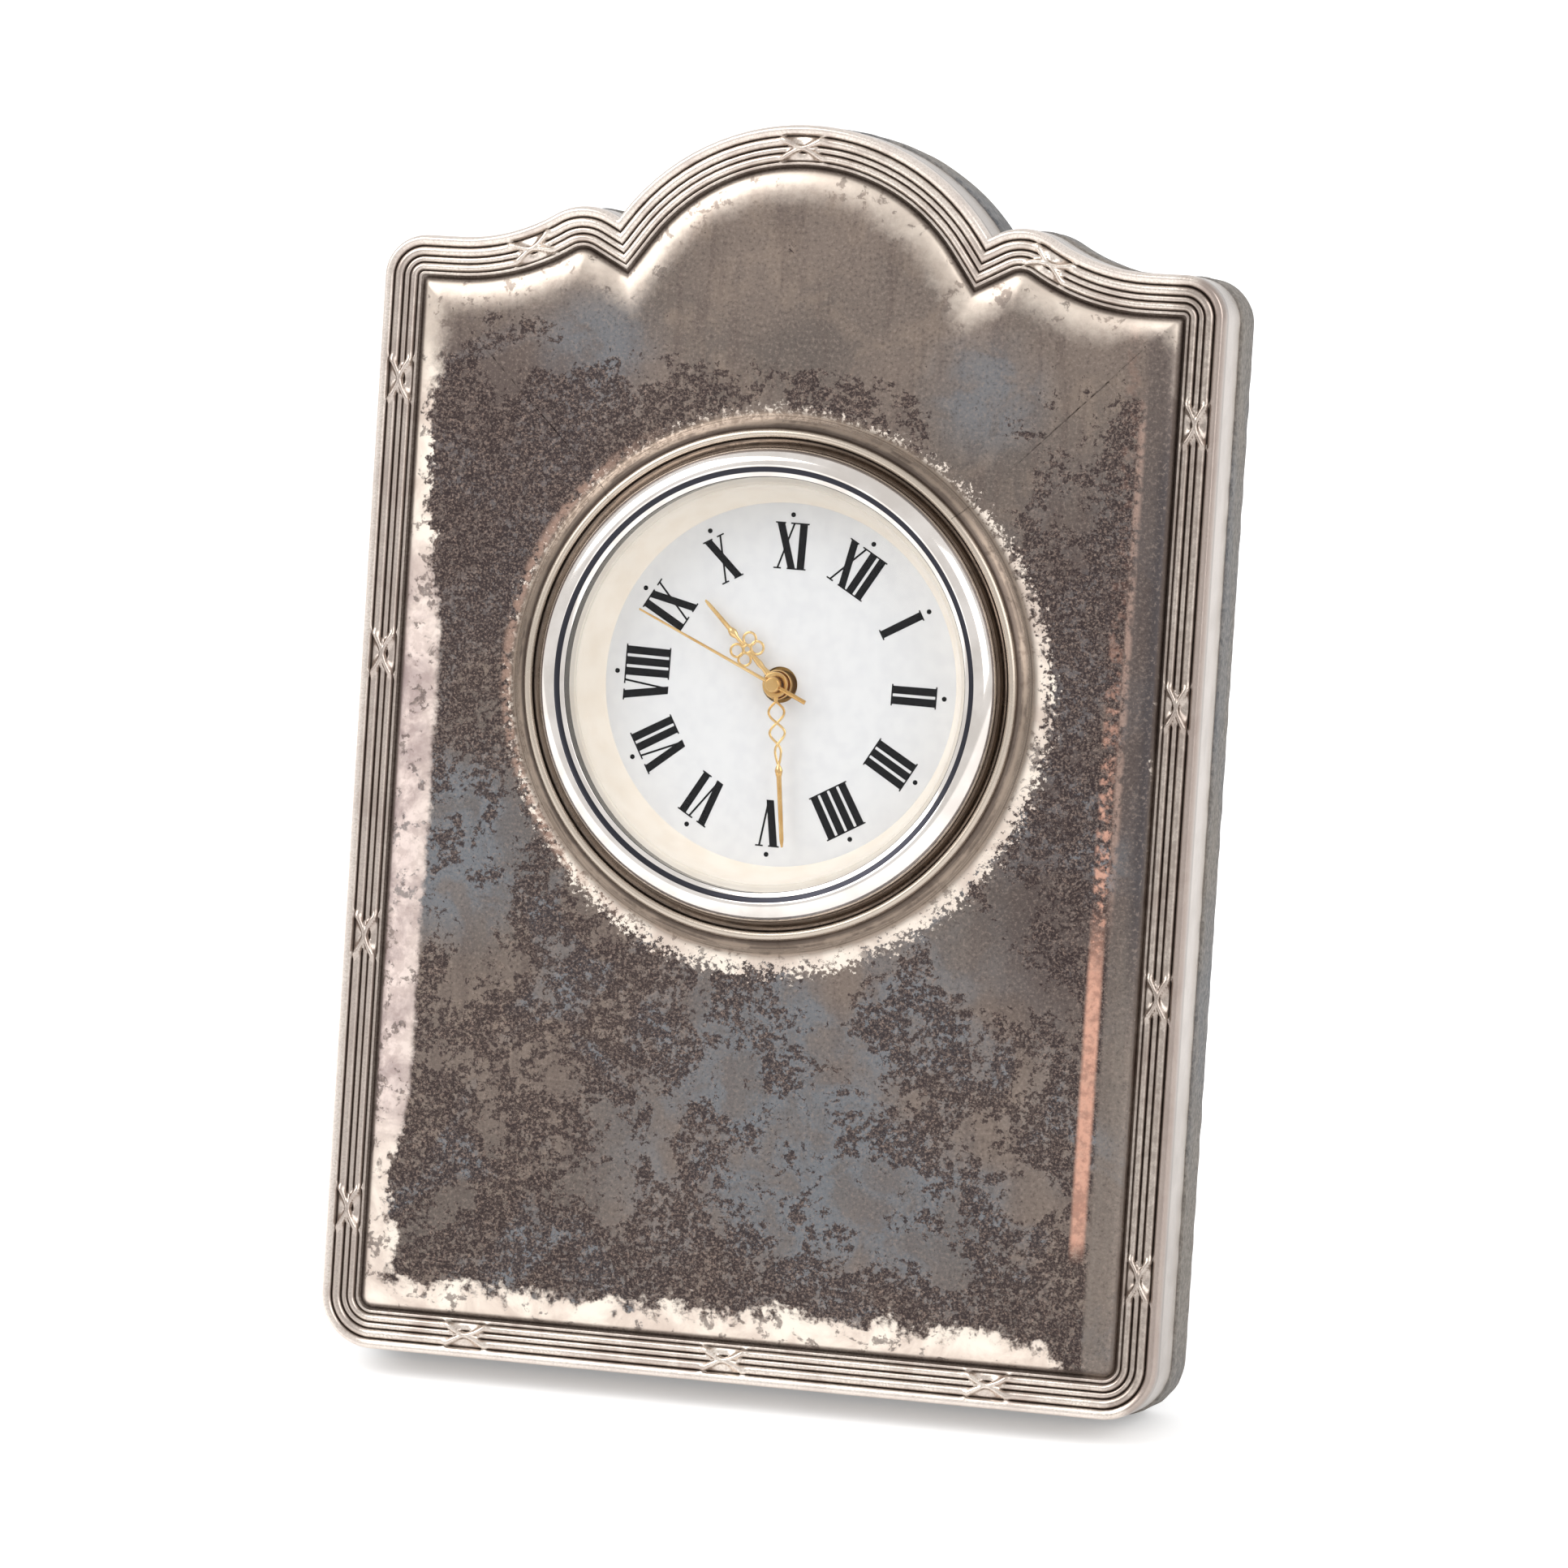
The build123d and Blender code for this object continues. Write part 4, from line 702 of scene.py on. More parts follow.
def second_hand(material):
    """Second hand: one fine needle with a tail, and the boss over all three hands."""
    wires = [tube([(0, -2.9), (0, -1.0), (0, 2.0), (0, 12.2)], [0.17, 0.17, 0.13, 0.08], SECOND_LEVEL),
             boss(0.6, -0.3, 0.2)]
    return hand("gilt_second_hand", wires, SECOND_ANGLE, "second_hand", material, "second_hand")


def colour(red, green, blue):
    """Display colour, 0 to 255, as the linear colour that shaders take."""
    shown = np.array([red, green, blue]) / 255
    linear = np.where(shown <= 0.04045, shown / 12.92, ((shown + 0.055) / 1.055)**2.4)
    return (*linear.tolist(), 1.0)


class Nodes:
    """Node tree, with short calls for the nodes that the finishes and the surroundings share."""

    def __init__(self, tree):
        self.tree = tree

    def add(self, kind, inputs, **settings):
        """A new node with its settings, its inputs set to values or linked to other nodes' outputs."""
        node = self.tree.nodes.new("ShaderNode" + kind)
        for setting, value in settings.items():
            setattr(node, setting, value)
        for socket, value in inputs.items():
            if isinstance(value, bpy.types.NodeSocket):
                self.tree.links.new(value, node.inputs[socket])
            else:
                node.inputs[socket].default_value = value
        return node

    def math(self, kind, first, *others):
        """One operation over two or more values, taken in turn."""
        for other in others:
            first = self.add("Math", {0: first, 1: other}, operation=kind).outputs[0]
        return first

    def sum(self, *terms):
        return self.math("ADD", *terms)

    def times(self, *factors):
        return self.math("MULTIPLY", *factors)

    def highest(self, *values):
        return self.math("MAXIMUM", *values)

    def weighed(self, *pairs):
        """Sum of values, each times its own weight."""
        return self.sum(*(self.times(value, weight) for value, weight in pairs))

    def gap(self, value, level):
        """How far a value is from a level, to either side."""
        return self.math("ABSOLUTE", self.sum(value, -level), 0.0)

    def away(self, place, point):
        """Distance of a place from a point."""
        return self.add("VectorMath", {0: place, 1: point}, operation="DISTANCE").outputs["Value"]

    def step(self, value, low, high, first=0.0, last=1.0):
        """Smooth step from the first level to the last, as the value goes from low to high."""
        inputs = {"Value": value, "From Min": low, "From Max": high, "To Min": first, "To Max": last}
        return self.add("MapRange", inputs, interpolation_type="SMOOTHSTEP").outputs["Result"]

    def fade(self, share, first, last):
        """Smooth step from the first level to the last, as a share goes from 0 to 1."""
        return self.step(share, 0.0, 1.0, first, last)

    def between(self, value, start, full, fall, end):
        """Smooth step up and down again: 1 from full to fall, 0 up to start and from end."""
        return self.times(self.step(value, start, full), self.step(value, end, fall))


class Finish(Nodes):
    """Node tree of one finish, with calls for its shader and its patterns."""

    def __init__(self, name, **settings):
        self.material = bpy.data.materials.new(name)
        self.material.use_nodes = True
        super().__init__(self.material.node_tree)
        self.shader = self.tree.nodes["Principled BSDF"]
        for socket, value in settings.items():
            self.shader.inputs[socket.replace("_", " ").title().replace("Ior", "IOR")].default_value = value

    def attribute(self, name, output="Fac"):
        return self.add("Attribute", {}, attribute_name=name).outputs[output]

    def place(self):
        return self.add("TexCoord", {}).outputs["Object"]

    def scaled(self, vector, size):
        return self.add("Mapping", {"Vector": vector, "Scale": size}).outputs["Vector"]

    def noise(self, vector, scale, detail=4.0, rough=0.55, warp=0.0):
        inputs = {"Vector": vector, "Scale": scale, "Detail": detail, "Roughness": rough, "Distortion": warp}
        return self.add("TexNoise", inputs).outputs["Fac"]

    def mix(self, share, first, second):
        return self.add("Mix", {0: share, 6: first, 7: second}, data_type="RGBA").outputs[2]

    def bump(self, height, strength, distance):
        made = self.add("Bump", {"Height": height, "Strength": strength, "Distance": distance})
        self.set("Normal", made.outputs["Normal"])

    def set(self, socket, output):
        self.tree.links.new(output, self.shader.inputs[socket])


# Blue-grey places in the tarnish, as (across, up, out): a cloud, a patch at the left and the two valleys
BLUE_CLOUD = (7, 20, 0)
BLUE_SIDE = (-25, 40, 0)
BLUE_VALLEYS = ((-15.5, 79.0, 0), (15.5, 77.0, 0))


def tarnished_silver():
    """Worn silver: bright where hands and polish reach, brown with dark speckle over the field.

    Each region is a product of smooth steps over millimetres across, up and out of the face, in from its
    edge or out from the clock, with its border broken by noise. Tones are laid over each other by region."""
    look = Finish("tarnished_silver", metallic=1.0)
    step, between, fade, mix, noise = look.step, look.between, look.fade, look.mix, look.noise
    total, times, highest, weighed = look.sum, look.times, look.highest, look.weighed
    face = look.attribute("face", "Vector")
    edge = look.attribute("edge")
    patina = look.attribute("patina")
    parts = look.add("SeparateXYZ", {"Vector": face})
    across, up, out = (parts.outputs[axis] for axis in "XYZ")
    from_clock = look.away(face, (0, CLOCK_HEIGHT, 0))
    slow = noise(face, 0.06, 3.0)
    mid = noise(face, 0.24, 6.0, 0.62, 0.5)
    patch = noise(face, 0.11, 3.0, 0.55, 0.8)
    fine = noise(face, 1.4, 6.0, 0.64, 0.2)
    freckle = noise(face, 1.75, 7.0, 0.7, 0.25)
    stipple = noise(face, 3.6, 3.0, 0.7)
    grain = noise(face, 5.5, 5.0, 0.75)
    wiped = noise(look.scaled(face, (1.0, 0.12, 1.0)), 0.9, 4.0, 0.6)

    # Where the tarnish is rubbed off: a ragged strip along the field's edge and round the collar. Along the arch
    # this strip is widened and softened into a painted highlight of the pillow's slope
    field_in = total(edge, -FIELD_EDGE)
    low_right = weighed((across, 0.6), (total(up, -CLOCK_HEIGHT), -0.8))
    collar_out = total(from_clock, -COLLAR_RADIUS, step(low_right, -14.0, 16.0, 1.6, 0.2))
    left = times(step(across, -24.0, -29.0), step(up, 68.0, 52.0), step(up, 14.0, 21.0, 0.1, 1.0))
    right = times(step(across, 24.0, 27.0), step(up, 84.0, 80.0))
    foot = times(step(up, 13.0, 8.0), step(across, 29.0, 26.0))
    arch = step(up, 73.0, 80.0)
    reach = weighed((left, 2.9), (foot, 0.7), (arch, 0.2), (right, -2.2))
    rim = look.math("MINIMUM", look.math("SUBTRACT", field_in, reach), total(collar_out, 0.4))
    ragged = total(times(total(fine, -0.5), step(left, 0.3, 1.0, 4.5, 2.5)),
                   times(total(mid, -0.5), fade(foot, 3.0, 5.0)))
    ragged = times(ragged, fade(highest(arch, left), 1.0, 0.35), step(from_clock, 28.0, 24.0, 1.0, 0.4))
    lace = times(total(noise(face, 2.6, 4.0, 0.7), -0.5), step(from_clock, 27.0, 24.5, 0.0, 6.5))
    # Painted highlight: at the arch the strip's edge is spread wide into a soft gradient
    soft = weighed((arch, 1.4), (left, 0.55), (foot, 0.25))
    rubbed_and_arch_highlight = step(total(rim, ragged, lace), look.math("SUBTRACT", 1.25, soft), total(1.75, soft), 1.0, 0.0)
    crust = times(step(noise(face, 0.55, 4.0, 0.6, 0.4), 0.52, 0.6), step(fine, 0.46, 0.54))
    rubbed_and_arch_highlight = times(rubbed_and_arch_highlight, fade(crust, 1.0, 0.3))

    # Tarnish: brown and blue-grey clouds, with dark speckle thickest left of the collar and low down
    blue = highest(times(step(look.away(face, BLUE_CLOUD), 24.0, 8.0), step(slow, 0.36, 0.52)),
                   step(look.away(face, BLUE_SIDE), 10.0, 4.0),
                   times(step(patch, 0.53, 0.62), step(up, 60.0, 40.0)),
                   *(step(look.away(face, valley), 6.5, 1.5, 0.0, 0.8) for valley in BLUE_VALLEYS))
    near_collar = times(step(from_clock, 33.0, 21.0), step(across, 16.0, -12.0))
    right_strip = times(step(across, 15.0, 23.0), between(up, 24.0, 34.0, 62.0, 76.0))
    upper_left = times(step(across, -8.0, -18.0), between(up, 50.0, 62.0, 76.0, 84.0))
    thick = weighed((mid, 0.5), (patch, 0.5), (near_collar, 0.12), (step(up, 36.0, 22.0), 0.08),
                    (step(field_in, 9.0, 2.5), 0.05), (right_strip, 0.08), (upper_left, 0.12),
                    (step(up, 74.0, 84.0), -0.16), (blue, -0.05), (foot, 0.06))
    pull = look.math("MINIMUM", times(total(thick, -0.55), 2.0), 0.06)
    slope = step(across, 27.5, 28.1)
    speck = times(step(total(freckle, pull), 0.475, 0.535), fade(slope, 1.0, 0.1))
    slope = times(slope, step(wiped, 0.36, 0.6, 1.0, 0.7))
    brown = mix(step(slow, 0.38, 0.62), colour(121, 109, 101), colour(101, 93, 88))
    brown = mix(step(mid, 0.45, 0.68, 0.0, 0.7), brown, colour(134, 120, 109))
    brown = mix(step(wiped, 0.46, 0.64, 0.0, 0.5), brown, colour(98, 87, 82))
    shade = mix(step(patch, 0.44, 0.56), colour(81, 71, 69), colour(90, 87, 90))
    brown = mix(times(highest(upper_left, right_strip), 0.7), brown, shade)
    brown = mix(times(blue, step(mid, 0.4, 0.55, 0.35, 0.9)), brown, colour(112, 116, 121))
    deep = mix(step(grain, 0.4, 0.6), colour(47, 39, 40), colour(74, 64, 62))
    tarnish = mix(times(speck, 0.9), brown, deep)
    bare = times(step(grain, 0.53, 0.64), step(thick, 0.48, 0.6, 0.1, 0.65))
    tarnish = mix(bare, tarnish, colour(155, 135, 123))
    flank = mix(step(up, 30.0, 46.0), colour(125, 116, 109), colour(96, 87, 84))
    tarnish = mix(times(slope, 0.75), tarnish, flank)
    slate = times(step(edge, FIELD_EDGE + 1.5, FIELD_EDGE + 0.5), step(across, 26.0, 27.5))
    slate = times(slate, between(up, 28.0, 40.0, 70.0, 78.0), 0.75)
    tarnish = mix(slate, tarnish, colour(66, 63, 65))
    tarnish = mix(step(stipple, 0.46, 0.34, 0.0, 0.4), tarnish, colour(66, 58, 56))
    tarnish = mix(step(stipple, 0.52, 0.66, 0.0, 0.4), tarnish, colour(151, 136, 127))

    # Bare metal: cream, pinkish at the left edge, with a pale line and copper showing at the right
    bright = mix(step(mid, 0.35, 0.65), colour(238, 226, 213), colour(206, 190, 178))
    # The arch's painted highlight takes a duller cream
    bright = mix(times(arch, 0.7), bright, colour(198, 185, 172))
    pinkish = mix(step(fine, 0.4, 0.6), colour(218, 200, 195), colour(186, 166, 162))
    bright = mix(times(left, 0.75), bright, pinkish)
    dulled = total(step(mid, 0.42, 0.62, 0.0, 0.6), step(edge, FIELD_EDGE + 0.9, FIELD_EDGE + 0.2, 0.0, 0.4))
    bright = mix(times(left, dulled), bright, colour(148, 131, 129))
    metal = mix(rubbed_and_arch_highlight, tarnish, bright)
    pale_line = times(between(across, 27.3, 27.6, 27.8, 28.2), between(up, 34.0, 46.0, 74.0, 80.0),
                      step(fine, 0.4, 0.56, 0.05, 0.5))
    metal = mix(pale_line, metal, colour(184, 156, 142))
    broken = highest(step(fine, 0.38, 0.56, 0.9, 0.0), step(up, 40.0, 32.0))
    strip = times(between(across, 26.1, 26.5, 27.2, 27.6), broken, step(up, 11.5, 14.0),
                  step(up, 66.0, 42.0, 0.1, 0.9))
    metal = mix(strip, metal, mix(step(fine, 0.4, 0.62), colour(206, 160, 140), colour(172, 132, 116)))

    # The collar stays bronze brown, with a painted highlight along the bead's crest
    rim_ring = [COLLAR_RADIUS + offset for offset in (-0.4, 0.0, 0.3, 0.9)]
    coppery = times(between(from_clock, *rim_ring), step(across, -8.0, -17.0), step(fine, 0.42, 0.52), 0.55)
    metal = mix(coppery, metal, colour(178, 148, 132))
    collar = step(from_clock, COLLAR_RADIUS + 0.2, COLLAR_RADIUS - 0.5)
    rings = look.add("CombineXYZ", {"X": from_clock, "Y": times(mid, 0.6)}).outputs["Vector"]
    bronze_with_highlight = mix(step(noise(rings, 3.2, 3.0, 0.6), 0.38, 0.62), colour(134, 119, 106), colour(88, 77, 69))
    # Painted highlight: a pale line along the bead's crest
    crest = step(look.gap(from_clock, BEAD_RADIUS + 0.05), 0.45, 0.1, 0.0, 0.7)
    bronze_with_highlight = mix(crest, bronze_with_highlight, colour(206, 194, 180))
    metal = mix(times(collar, 0.95), metal, bronze_with_highlight)

    # The border is grey and worn: a bright lip and a plain flange under it, with painted shade on the reeds at the
    # sides, on the lip's outer half at the right and in a line under the lip
    border = step(edge, FIELD_EDGE + 0.3, FIELD_EDGE - 0.1)
    worn_and_shaded = mix(step(grain, 0.35, 0.7), colour(228, 218, 208), colour(190, 178, 168))
    worn_and_shaded = mix(step(mid, 0.42, 0.7), worn_and_shaded, colour(179, 165, 156))
    # Painted shade: the reeds are darker at the left and right sides than along the top and bottom
    reeds = step(edge, LIP_CREST, LIP_WIDTH)
    worn_and_shaded = mix(times(step(across, -29.5, -31.0), reeds, 0.6), worn_and_shaded, colour(152, 139, 132))
    right_side = step(across, 29.0, 30.5)
    worn_and_shaded = mix(times(right_side, reeds, step(fine, 0.4, 0.6, 0.75, 0.5)), worn_and_shaded, colour(134, 122, 114))
    # The lip's bright polish is mostly left off at the right side, where its shade is painted
    lip = times(step(edge, LIP_WIDTH - 0.1, LIP_CREST), fade(right_side, 1.0, 0.15))
    worn_and_shaded = mix(times(lip, step(grain, 0.35, 0.65, 0.75, 0.4)), worn_and_shaded, colour(230, 219, 211))
    flange = mix(step(mid, 0.35, 0.7), colour(170, 161, 155), colour(158, 149, 142))
    worn_and_shaded = mix(step(out, -0.7, -1.3, 0.0, 0.85), worn_and_shaded, flange)
    # Painted shade: the lip's outer half is darker at the right side
    right_lip_shade = times(step(across, 30.8, 31.8), step(out, -1.4, -0.9), step(edge, 0.9, 0.7), 0.8)
    worn_and_shaded = mix(right_lip_shade, worn_and_shaded, colour(150, 136, 129))
    # Painted shadow: a dark line on the flange just under the lip
    lip_shadow_line = times(step(look.gap(out, -1.05), 0.4, 0.1), step(grain, 0.3, 0.6, 0.5, 0.75))
    worn_and_shaded = mix(lip_shadow_line, worn_and_shaded, colour(128, 118, 111))
    metal = mix(border, metal, worn_and_shaded)

    # Handling soils the flange's foot, and grime fills what polish misses
    smear = noise(look.scaled(face, (1.0, 0.25, 1.0)), 1.1, 4.0)
    soiled = times(step(out, -3.0, -4.6), step(smear, 0.32, 0.62, 0.4, 1.0), 0.55)
    metal = mix(soiled, metal, colour(146, 130, 114))
    spared = times(slope, step(up, 58.0, 44.0), step(edge, 2.9, 3.1))
    grime = times(step(patina, 0.15, 0.8), step(grain, 0.2, 0.6, 0.7, 1.0), fade(spared, 0.8, 0.4))
    look.set("Base Color", mix(grime, metal, colour(88, 77, 71)))
    halo = times(rubbed_and_arch_highlight, fade(highest(border, collar), 1.0, 0.0))
    look.set("Metallic", fade(halo, 1.0, 0.75))
    clean = highest(rubbed_and_arch_highlight, border)
    pits = times(speck, step(highest(clean, collar), 0.0, 0.5, 1.0, 0.0))
    dull = weighed((halo, 0.1), (pits, 0.15), (grime, 0.2))
    look.set("Roughness", total(fade(clean, 0.40, 0.27), dull))
    look.bump(weighed((grain, 0.3), (pits, -0.6)), 0.1, 0.0002)
    return look.material


def velvet_cloth():
    """Grey velvet: short pile, brushed in soft patches from bluish to warm grey, with a pale sheen."""
    look = Finish("velvet_cloth", roughness=0.95, sheen_weight=0.25, sheen_roughness=0.45,
                  specular_ior_level=0.1)
    look.shader.inputs["Sheen Tint"].default_value = colour(220, 219, 217)
    place = look.place()
    pile = look.noise(place, 2400.0, 4.0, 0.65)
    brushed = look.noise(look.scaled(place, (1.0, 1.0, 0.45)), 90.0, 3.0)
    ground = look.mix(look.step(brushed, 0.38, 0.62), colour(102, 107, 114), colour(122, 115, 107))
    tips = look.mix(look.step(pile, 0.3, 0.7), colour(76, 74, 73), colour(158, 151, 144))
    look.set("Base Color", look.mix(0.55, tips, ground))
    look.bump(pile, 0.8, 0.0004)
    return look.material


def polished(name, light, dark, rough, scale=900.0, metal=1.0):
    """Bright plated or turned metal with faint cloudiness and fine scratches."""
    look = Finish(name, metallic=metal)
    place = look.place()
    cloud = look.noise(place, scale * 0.25, 4.0)
    scratch = look.noise(look.scaled(place, (1.0, 6.0, 1.0)), scale, 3.0)
    look.set("Base Color", look.mix(look.step(cloud, 0.35, 0.7), light, dark))
    look.set("Roughness", look.sum(look.step(cloud, 0.3, 0.7, rough, rough * 1.6), look.times(scratch, 0.04)))
    look.bump(scratch, 0.03, 0.0001)
    return look.material


def turned_steel(name, light, dark, rough):
    """Steel faced on a lathe: fine rings about the clock's axis, from the distance |(p - c) x axis|."""
    look = Finish(name, metallic=1.0)
    centre = joints["clock_turn"]["pos_m"]
    away = look.add("VectorMath", {0: look.place(), 1: centre}, operation="SUBTRACT").outputs["Vector"]
    aside = look.add("VectorMath", {0: away, 1: OUT.tolist()}, operation="CROSS_PRODUCT").outputs["Vector"]
    radius = look.add("VectorMath", {0: aside}, operation="LENGTH").outputs["Value"]
    rings = look.noise(look.add("CombineXYZ", {"X": radius}).outputs["Vector"], 5200.0, 3.0, 0.6)
    cloud = look.noise(look.place(), 300.0, 3.0)
    look.set("Base Color", look.mix(look.step(rings, 0.35, 0.65), light, dark))
    look.set("Roughness", look.sum(look.step(cloud, 0.3, 0.7, rough, rough * 1.25), look.times(rings, 0.06)))
    look.bump(rings, 0.06, 0.0001)
    return look.material


def moulded(name, light, dark, rough, grain=3000.0, depth=0.15, shine=0.5):
    """Plain moulded, painted or printed surface with a fine grain."""
    look = Finish(name, specular_ior_level=shine)
    place = look.place()
    speck = look.noise(place, grain, 4.0)
    look.set("Base Color", look.mix(look.step(speck, 0.35, 0.7), light, dark))
    look.set("Roughness", look.step(speck, 0.3, 0.7, rough, rough * 1.25))
    look.bump(speck, depth, 0.0001)
    return look.material


def fibre_board():
    """Grey pressed board, with fibres drawn out along the sheet."""
    look = Finish("fibre_board", roughness=0.9)
    fibre = look.noise(look.scaled(look.place(), (1.0, 1.0, 0.2)), 1800.0, 5.0, 0.65)
    look.set("Base Color", look.mix(look.step(fibre, 0.35, 0.7), colour(150, 136, 114), colour(112, 100, 82)))
    look.bump(fibre, 0.3, 0.0002)
    return look.material


def clear_glass():
    """Flat clock glass: clear, with a reflection that grows towards grazing angles."""
    look = Finish("clear_glass")
    tree = look.tree
    tree.nodes.remove(look.shader)
    smear = look.noise(look.place(), 140.0, 3.0)
    rough = look.step(smear, 0.4, 0.75, 0.015, 0.06)
    gloss = look.add("BsdfGlossy", {"Roughness": rough, "Color": (1, 1, 1, 1)})
    clear = look.add("BsdfTransparent", {"Color": (0.945, 0.945, 0.945, 1)})
    facing = look.add("LayerWeight", {}).outputs["Facing"]
    share = look.sum(look.times(look.math("POWER", facing, 5.0), 0.9), 0.01)
    both = look.add("MixShader", {0: share, 1: clear.outputs[0], 2: gloss.outputs[0]})
    tree.links.new(both.outputs[0], tree.nodes["Material Output"].inputs["Surface"])
    return look.material


def bezel_steel():
    """Polished bezel: warm bright steel, with a dark band on the bevel down to the glass."""
    look = Finish("bezel_steel", metallic=1.0)
    place = look.place()
    bevel = look.step(look.attribute("shade"), 0.1, 0.9)
    cloud = look.noise(place, 260.0, 4.0)
    steel = look.mix(look.step(cloud, 0.35, 0.7), colour(226, 220, 215), colour(208, 201, 195))
    look.set("Base Color", look.mix(bevel, steel, colour(52, 52, 58)))
    look.set("Roughness", look.sum(look.step(cloud, 0.3, 0.7, 0.08, 0.13), look.times(bevel, 0.2)))
    look.bump(look.noise(place, 900.0, 3.0), 0.02, 0.0001)
    return look.material


finishes = {
    "silver": tarnished_silver(),
    "velvet": velvet_cloth(),
    "board": fibre_board(),
    "chrome": polished("polished_steel", colour(238, 238, 238), colour(222, 222, 224), 0.07),
    "glass": clear_glass(),
    "cream": moulded("cream_ring", colour(255, 246, 233), colour(250, 239, 224), 0.2, 500.0, 0.02),
    "dial_white": moulded("white_dial", colour(238, 239, 240), colour(232, 233, 235), 0.45, 900.0, 0.02),
    "gilt": polished("gilt_hands", colour(238, 204, 146), colour(204, 158, 92), 0.13),
    "brass": polished("train_brass", colour(214, 178, 104), colour(190, 150, 84), 0.3),
    "steel": turned_steel("turned_steel", colour(196, 196, 198), colour(182, 182, 185), 0.28),
    "rubber": moulded("gasket_rubber", colour(34, 34, 36), colour(26, 26, 28), 0.6),
    "grip": moulded("grip_ring_plastic", colour(222, 220, 212), colour(206, 204, 196), 0.5),
    "black_plastic": moulded("black_plastic", colour(34, 34, 36), colour(26, 26, 28), 0.45),
    "white_plastic": moulded("white_plastic", colour(228, 226, 220), colour(214, 212, 206), 0.45),
    "copper": polished("coil_wire", colour(196, 116, 70), colour(160, 88, 54), 0.35),
    "circuit": moulded("green_board", colour(52, 96, 62), colour(40, 78, 50), 0.5),
}
ink = moulded("dial_ink", colour(14, 14, 18), colour(8, 8, 11), 0.7, shine=0.08)

for part in frame["record"]["subparts"]:
    node = frame["nodes"][part["node"]]
    node.data.materials.clear()
    node.data.materials.append(finishes[part["material_slot"]])

silver_front(finishes["silver"])
back_velvet(finishes["velvet"])
strut_velvet(finishes["velvet"])

dome = np.linspace(0, np.pi / 2, 24)
dome = np.c_[CREST_RADIUS + (BEZEL_RADIUS - CREST_RADIUS) * np.cos(dome),
             BEZEL_FOOT + (BEZEL_TOP - BEZEL_FOOT) * np.sin(dome), 0 * dome]
bezel_profile = np.vstack([
    [(CASE_OUT + 0.05, SEAT, 0), (BEZEL_RADIUS - 0.25, SEAT, 0), (BEZEL_RADIUS, SEAT + 0.2, 0)], dome,
    [(BEVEL_RADIUS + 0.03, BEZEL_TOP - 0.03, 0), (BEVEL_RADIUS, BEZEL_TOP - 0.06, 1),
     (BLACK_RADIUS, LENS_TOP + 0.16, 1), (BLACK_RADIUS - 0.04, LENS_TOP + 0.15, 0),
     (LIP_RADIUS + 0.07, LENS_TOP + 0.04, 0), (LIP_RADIUS, LENS_TOP, 0), (CASE_OUT + 0.05, LENS_TOP, 0)]])
settle(lathe("polished_bezel", bezel_profile), "clock_case", "chrome", bezel_steel(), "bezel")
slope = curve((DIAL_RADIUS, DIAL_TOP), (15.1, -0.6), (INSIDE - 0.15, RIM - 0.05), 14)
rim_corners = [(LENS_RADIUS, RIM + 0.012), (LENS_RADIUS, RIM + 0.002),
               (INSIDE, RIM + 0.002), (INSIDE, DIAL_TOP)]
cream_profile = np.vstack([slope, rim_corners])
settle(lathe("cream_slope", cream_profile), "clock_case", "cream", finishes["cream"], "rehaut_ring")

dial_print(ink)
hour_hand(finishes["gilt"])
minute_hand(finishes["gilt"])
second_hand(finishes["gilt"])


# Floor, light and camera
PHOTO_SIZE = 1932
FOCAL_PIXELS = 8818.9
CAMERA_DISTANCE = 548.1
CAMERA_TARGET = (1.43, 46.38, 0.0)
FRONT = (0.0, -0.97, 0.24)
FRONT_LEVEL = 0.56
FLOOR_HALF = 2.0
FLOOR_DROP = 0.0001
FLOOR_GLOW = 0.3
SEEN_RAYS = ("Is Camera Ray", "Is Glossy Ray", "Is Transmission Ray")
WHITE = (1, 1, 1, 1)
LAMP_TARGET = (0, 0, 0.05)
LAMPS = (("key", (-0.8, -0.65, 1.0), 1.0, 11.0), ("fill", (1.0, -0.5, 0.7), 0.9, 6.0))
YAW, PITCH, ROLL = np.radians((15.71, 1.94, 3.68))


def white_floor():
    """Wide pale floor that shows white to the camera where it is lit and keeps the shadow."""
    look = Finish("pale_floor", roughness=0.9)
    tone = look.noise(look.place(), 6.0, 2.0)
    look.set("Base Color", look.mix(tone, (0.86, 0.86, 0.86, 1), (0.88, 0.88, 0.88, 1)))
    ray = look.add("LightPath", {}).outputs
    seen = look.highest(*(ray[kind] for kind in SEEN_RAYS))
    look.set("Emission Strength", look.times(seen, FLOOR_GLOW))
    look.shader.inputs["Emission Color"].default_value = WHITE
    side = np.linspace(-FLOOR_HALF, FLOOR_HALF, 5)
    across, along = np.meshgrid(side, side)
    floor = skin("floor", [np.stack([across, along, 0 * across - FLOOR_DROP], axis=-1)], round_columns=False)
    floor.data.materials.append(look.material)


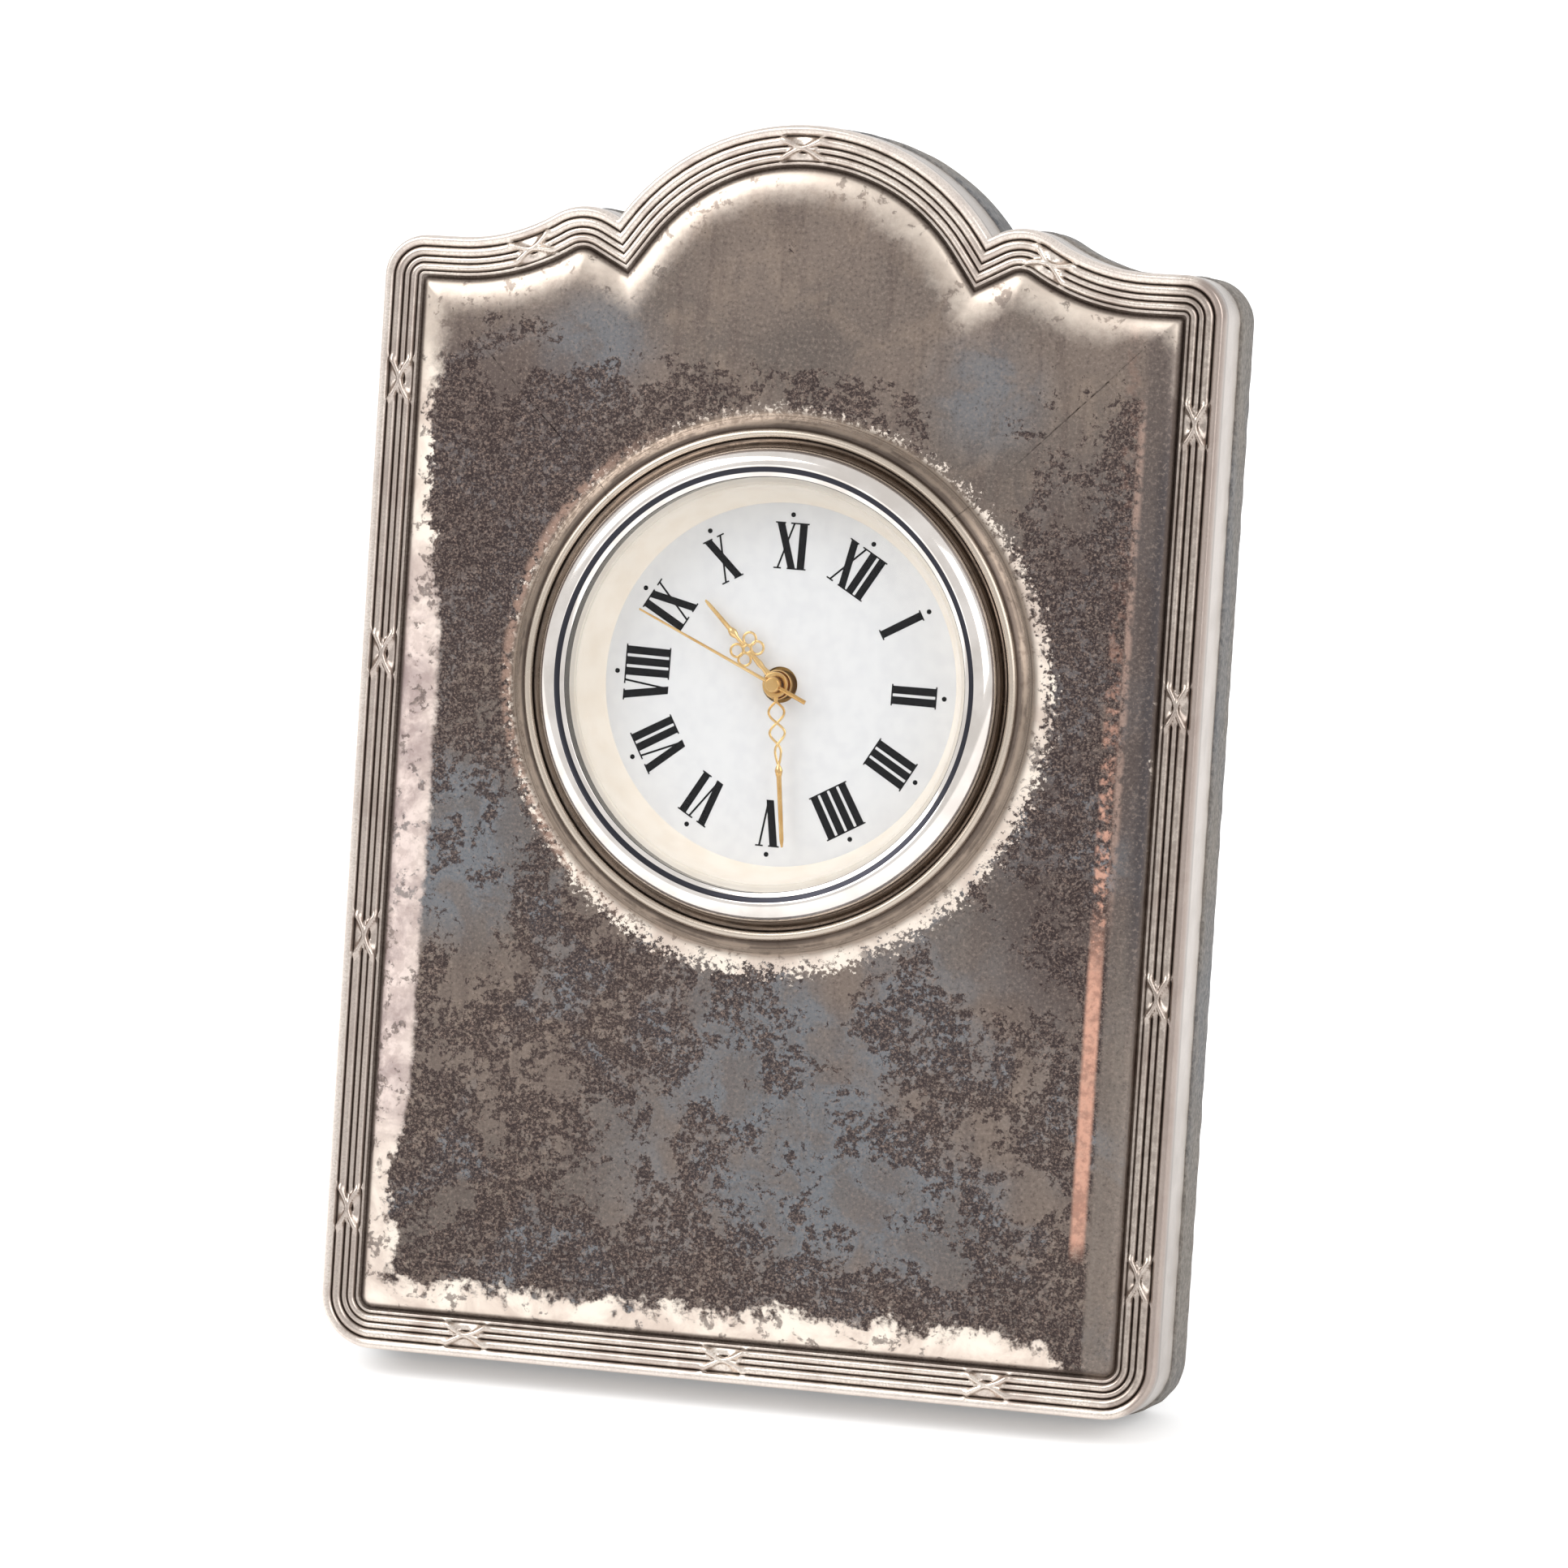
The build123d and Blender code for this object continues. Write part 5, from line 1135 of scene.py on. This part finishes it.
def soft_lamp(name, place, size, power):
    """Square soft lamp at a place, turned to the target, in metres."""
    data = bpy.data.lights.new(name, "AREA")
    data.size = size
    data.energy = power
    lamp = bpy.data.objects.new(name, data)
    away = np.subtract(place, LAMP_TARGET)
    away = away / np.linalg.norm(away)
    side = np.cross((0, 0, 1), away)
    side = side / np.linalg.norm(side)
    turn = np.eye(4)
    turn[:3, :3] = np.stack([side, np.cross(away, side), away], axis=1)
    turn[:3, 3] = place
    lamp.matrix_world = Matrix(turn.tolist())
    bpy.context.scene.collection.objects.link(lamp)


def studio_world():
    """White surroundings, seen directly, through glass and in metal; matt pieces get less from the front."""
    world = bpy.data.worlds.new("studio")
    world.use_nodes = True
    bpy.context.scene.world = world
    sky = Nodes(world.node_tree)
    sky.tree.nodes.clear()
    way = sky.add("TexCoord", {}).outputs["Generated"]
    ahead = sky.add("VectorMath", {0: way, 1: FRONT}, operation="DOT_PRODUCT").outputs["Value"]
    ray = sky.add("LightPath", {}).outputs
    seen = sky.highest(*(ray[kind] for kind in SEEN_RAYS))
    room = sky.add("Background", {"Color": WHITE, "Strength": sky.step(ahead, 0.55, 0.92, 1.0, FRONT_LEVEL)})
    white = sky.add("Background", {"Color": WHITE})
    both = sky.add("MixShader", {0: seen, 1: room.outputs[0], 2: white.outputs[0]})
    sky.add("OutputWorld", {"Surface": both.outputs[0]})


def photo_camera():
    """Camera at the photograph's view: back, right and up directions from yaw, pitch and roll on the face."""
    back = np.array([np.sin(YAW) * np.cos(PITCH), np.sin(PITCH), np.cos(YAW) * np.cos(PITCH)])
    level = np.array([np.cos(YAW), 0.0, -np.sin(YAW)])
    rise = np.cross(back, level)
    right = level * np.cos(ROLL) + rise * np.sin(ROLL)
    top = rise * np.cos(ROLL) - level * np.sin(ROLL)
    directions = np.stack([ACROSS, UP, OUT])
    turn = np.eye(4)
    turn[:3, :3] = np.stack([right @ directions, top @ directions, back @ directions], axis=1)
    turn[:3, 3] = on_face(*CAMERA_TARGET) + CAMERA_DISTANCE * MM * (back @ directions)
    data = bpy.data.cameras.new("photo_camera")
    data.sensor_width = 36.0
    data.lens = FOCAL_PIXELS / PHOTO_SIZE * data.sensor_width
    data.clip_start = 0.01
    camera = bpy.data.objects.new("photo_camera", data)
    camera.matrix_world = Matrix(turn.tolist())
    bpy.context.scene.collection.objects.link(camera)
    bpy.context.scene.camera = camera


white_floor()
studio_world()
for lamp in LAMPS:
    soft_lamp(*lamp)
photo_camera()
bpy.context.scene.view_settings.view_transform = "Standard"
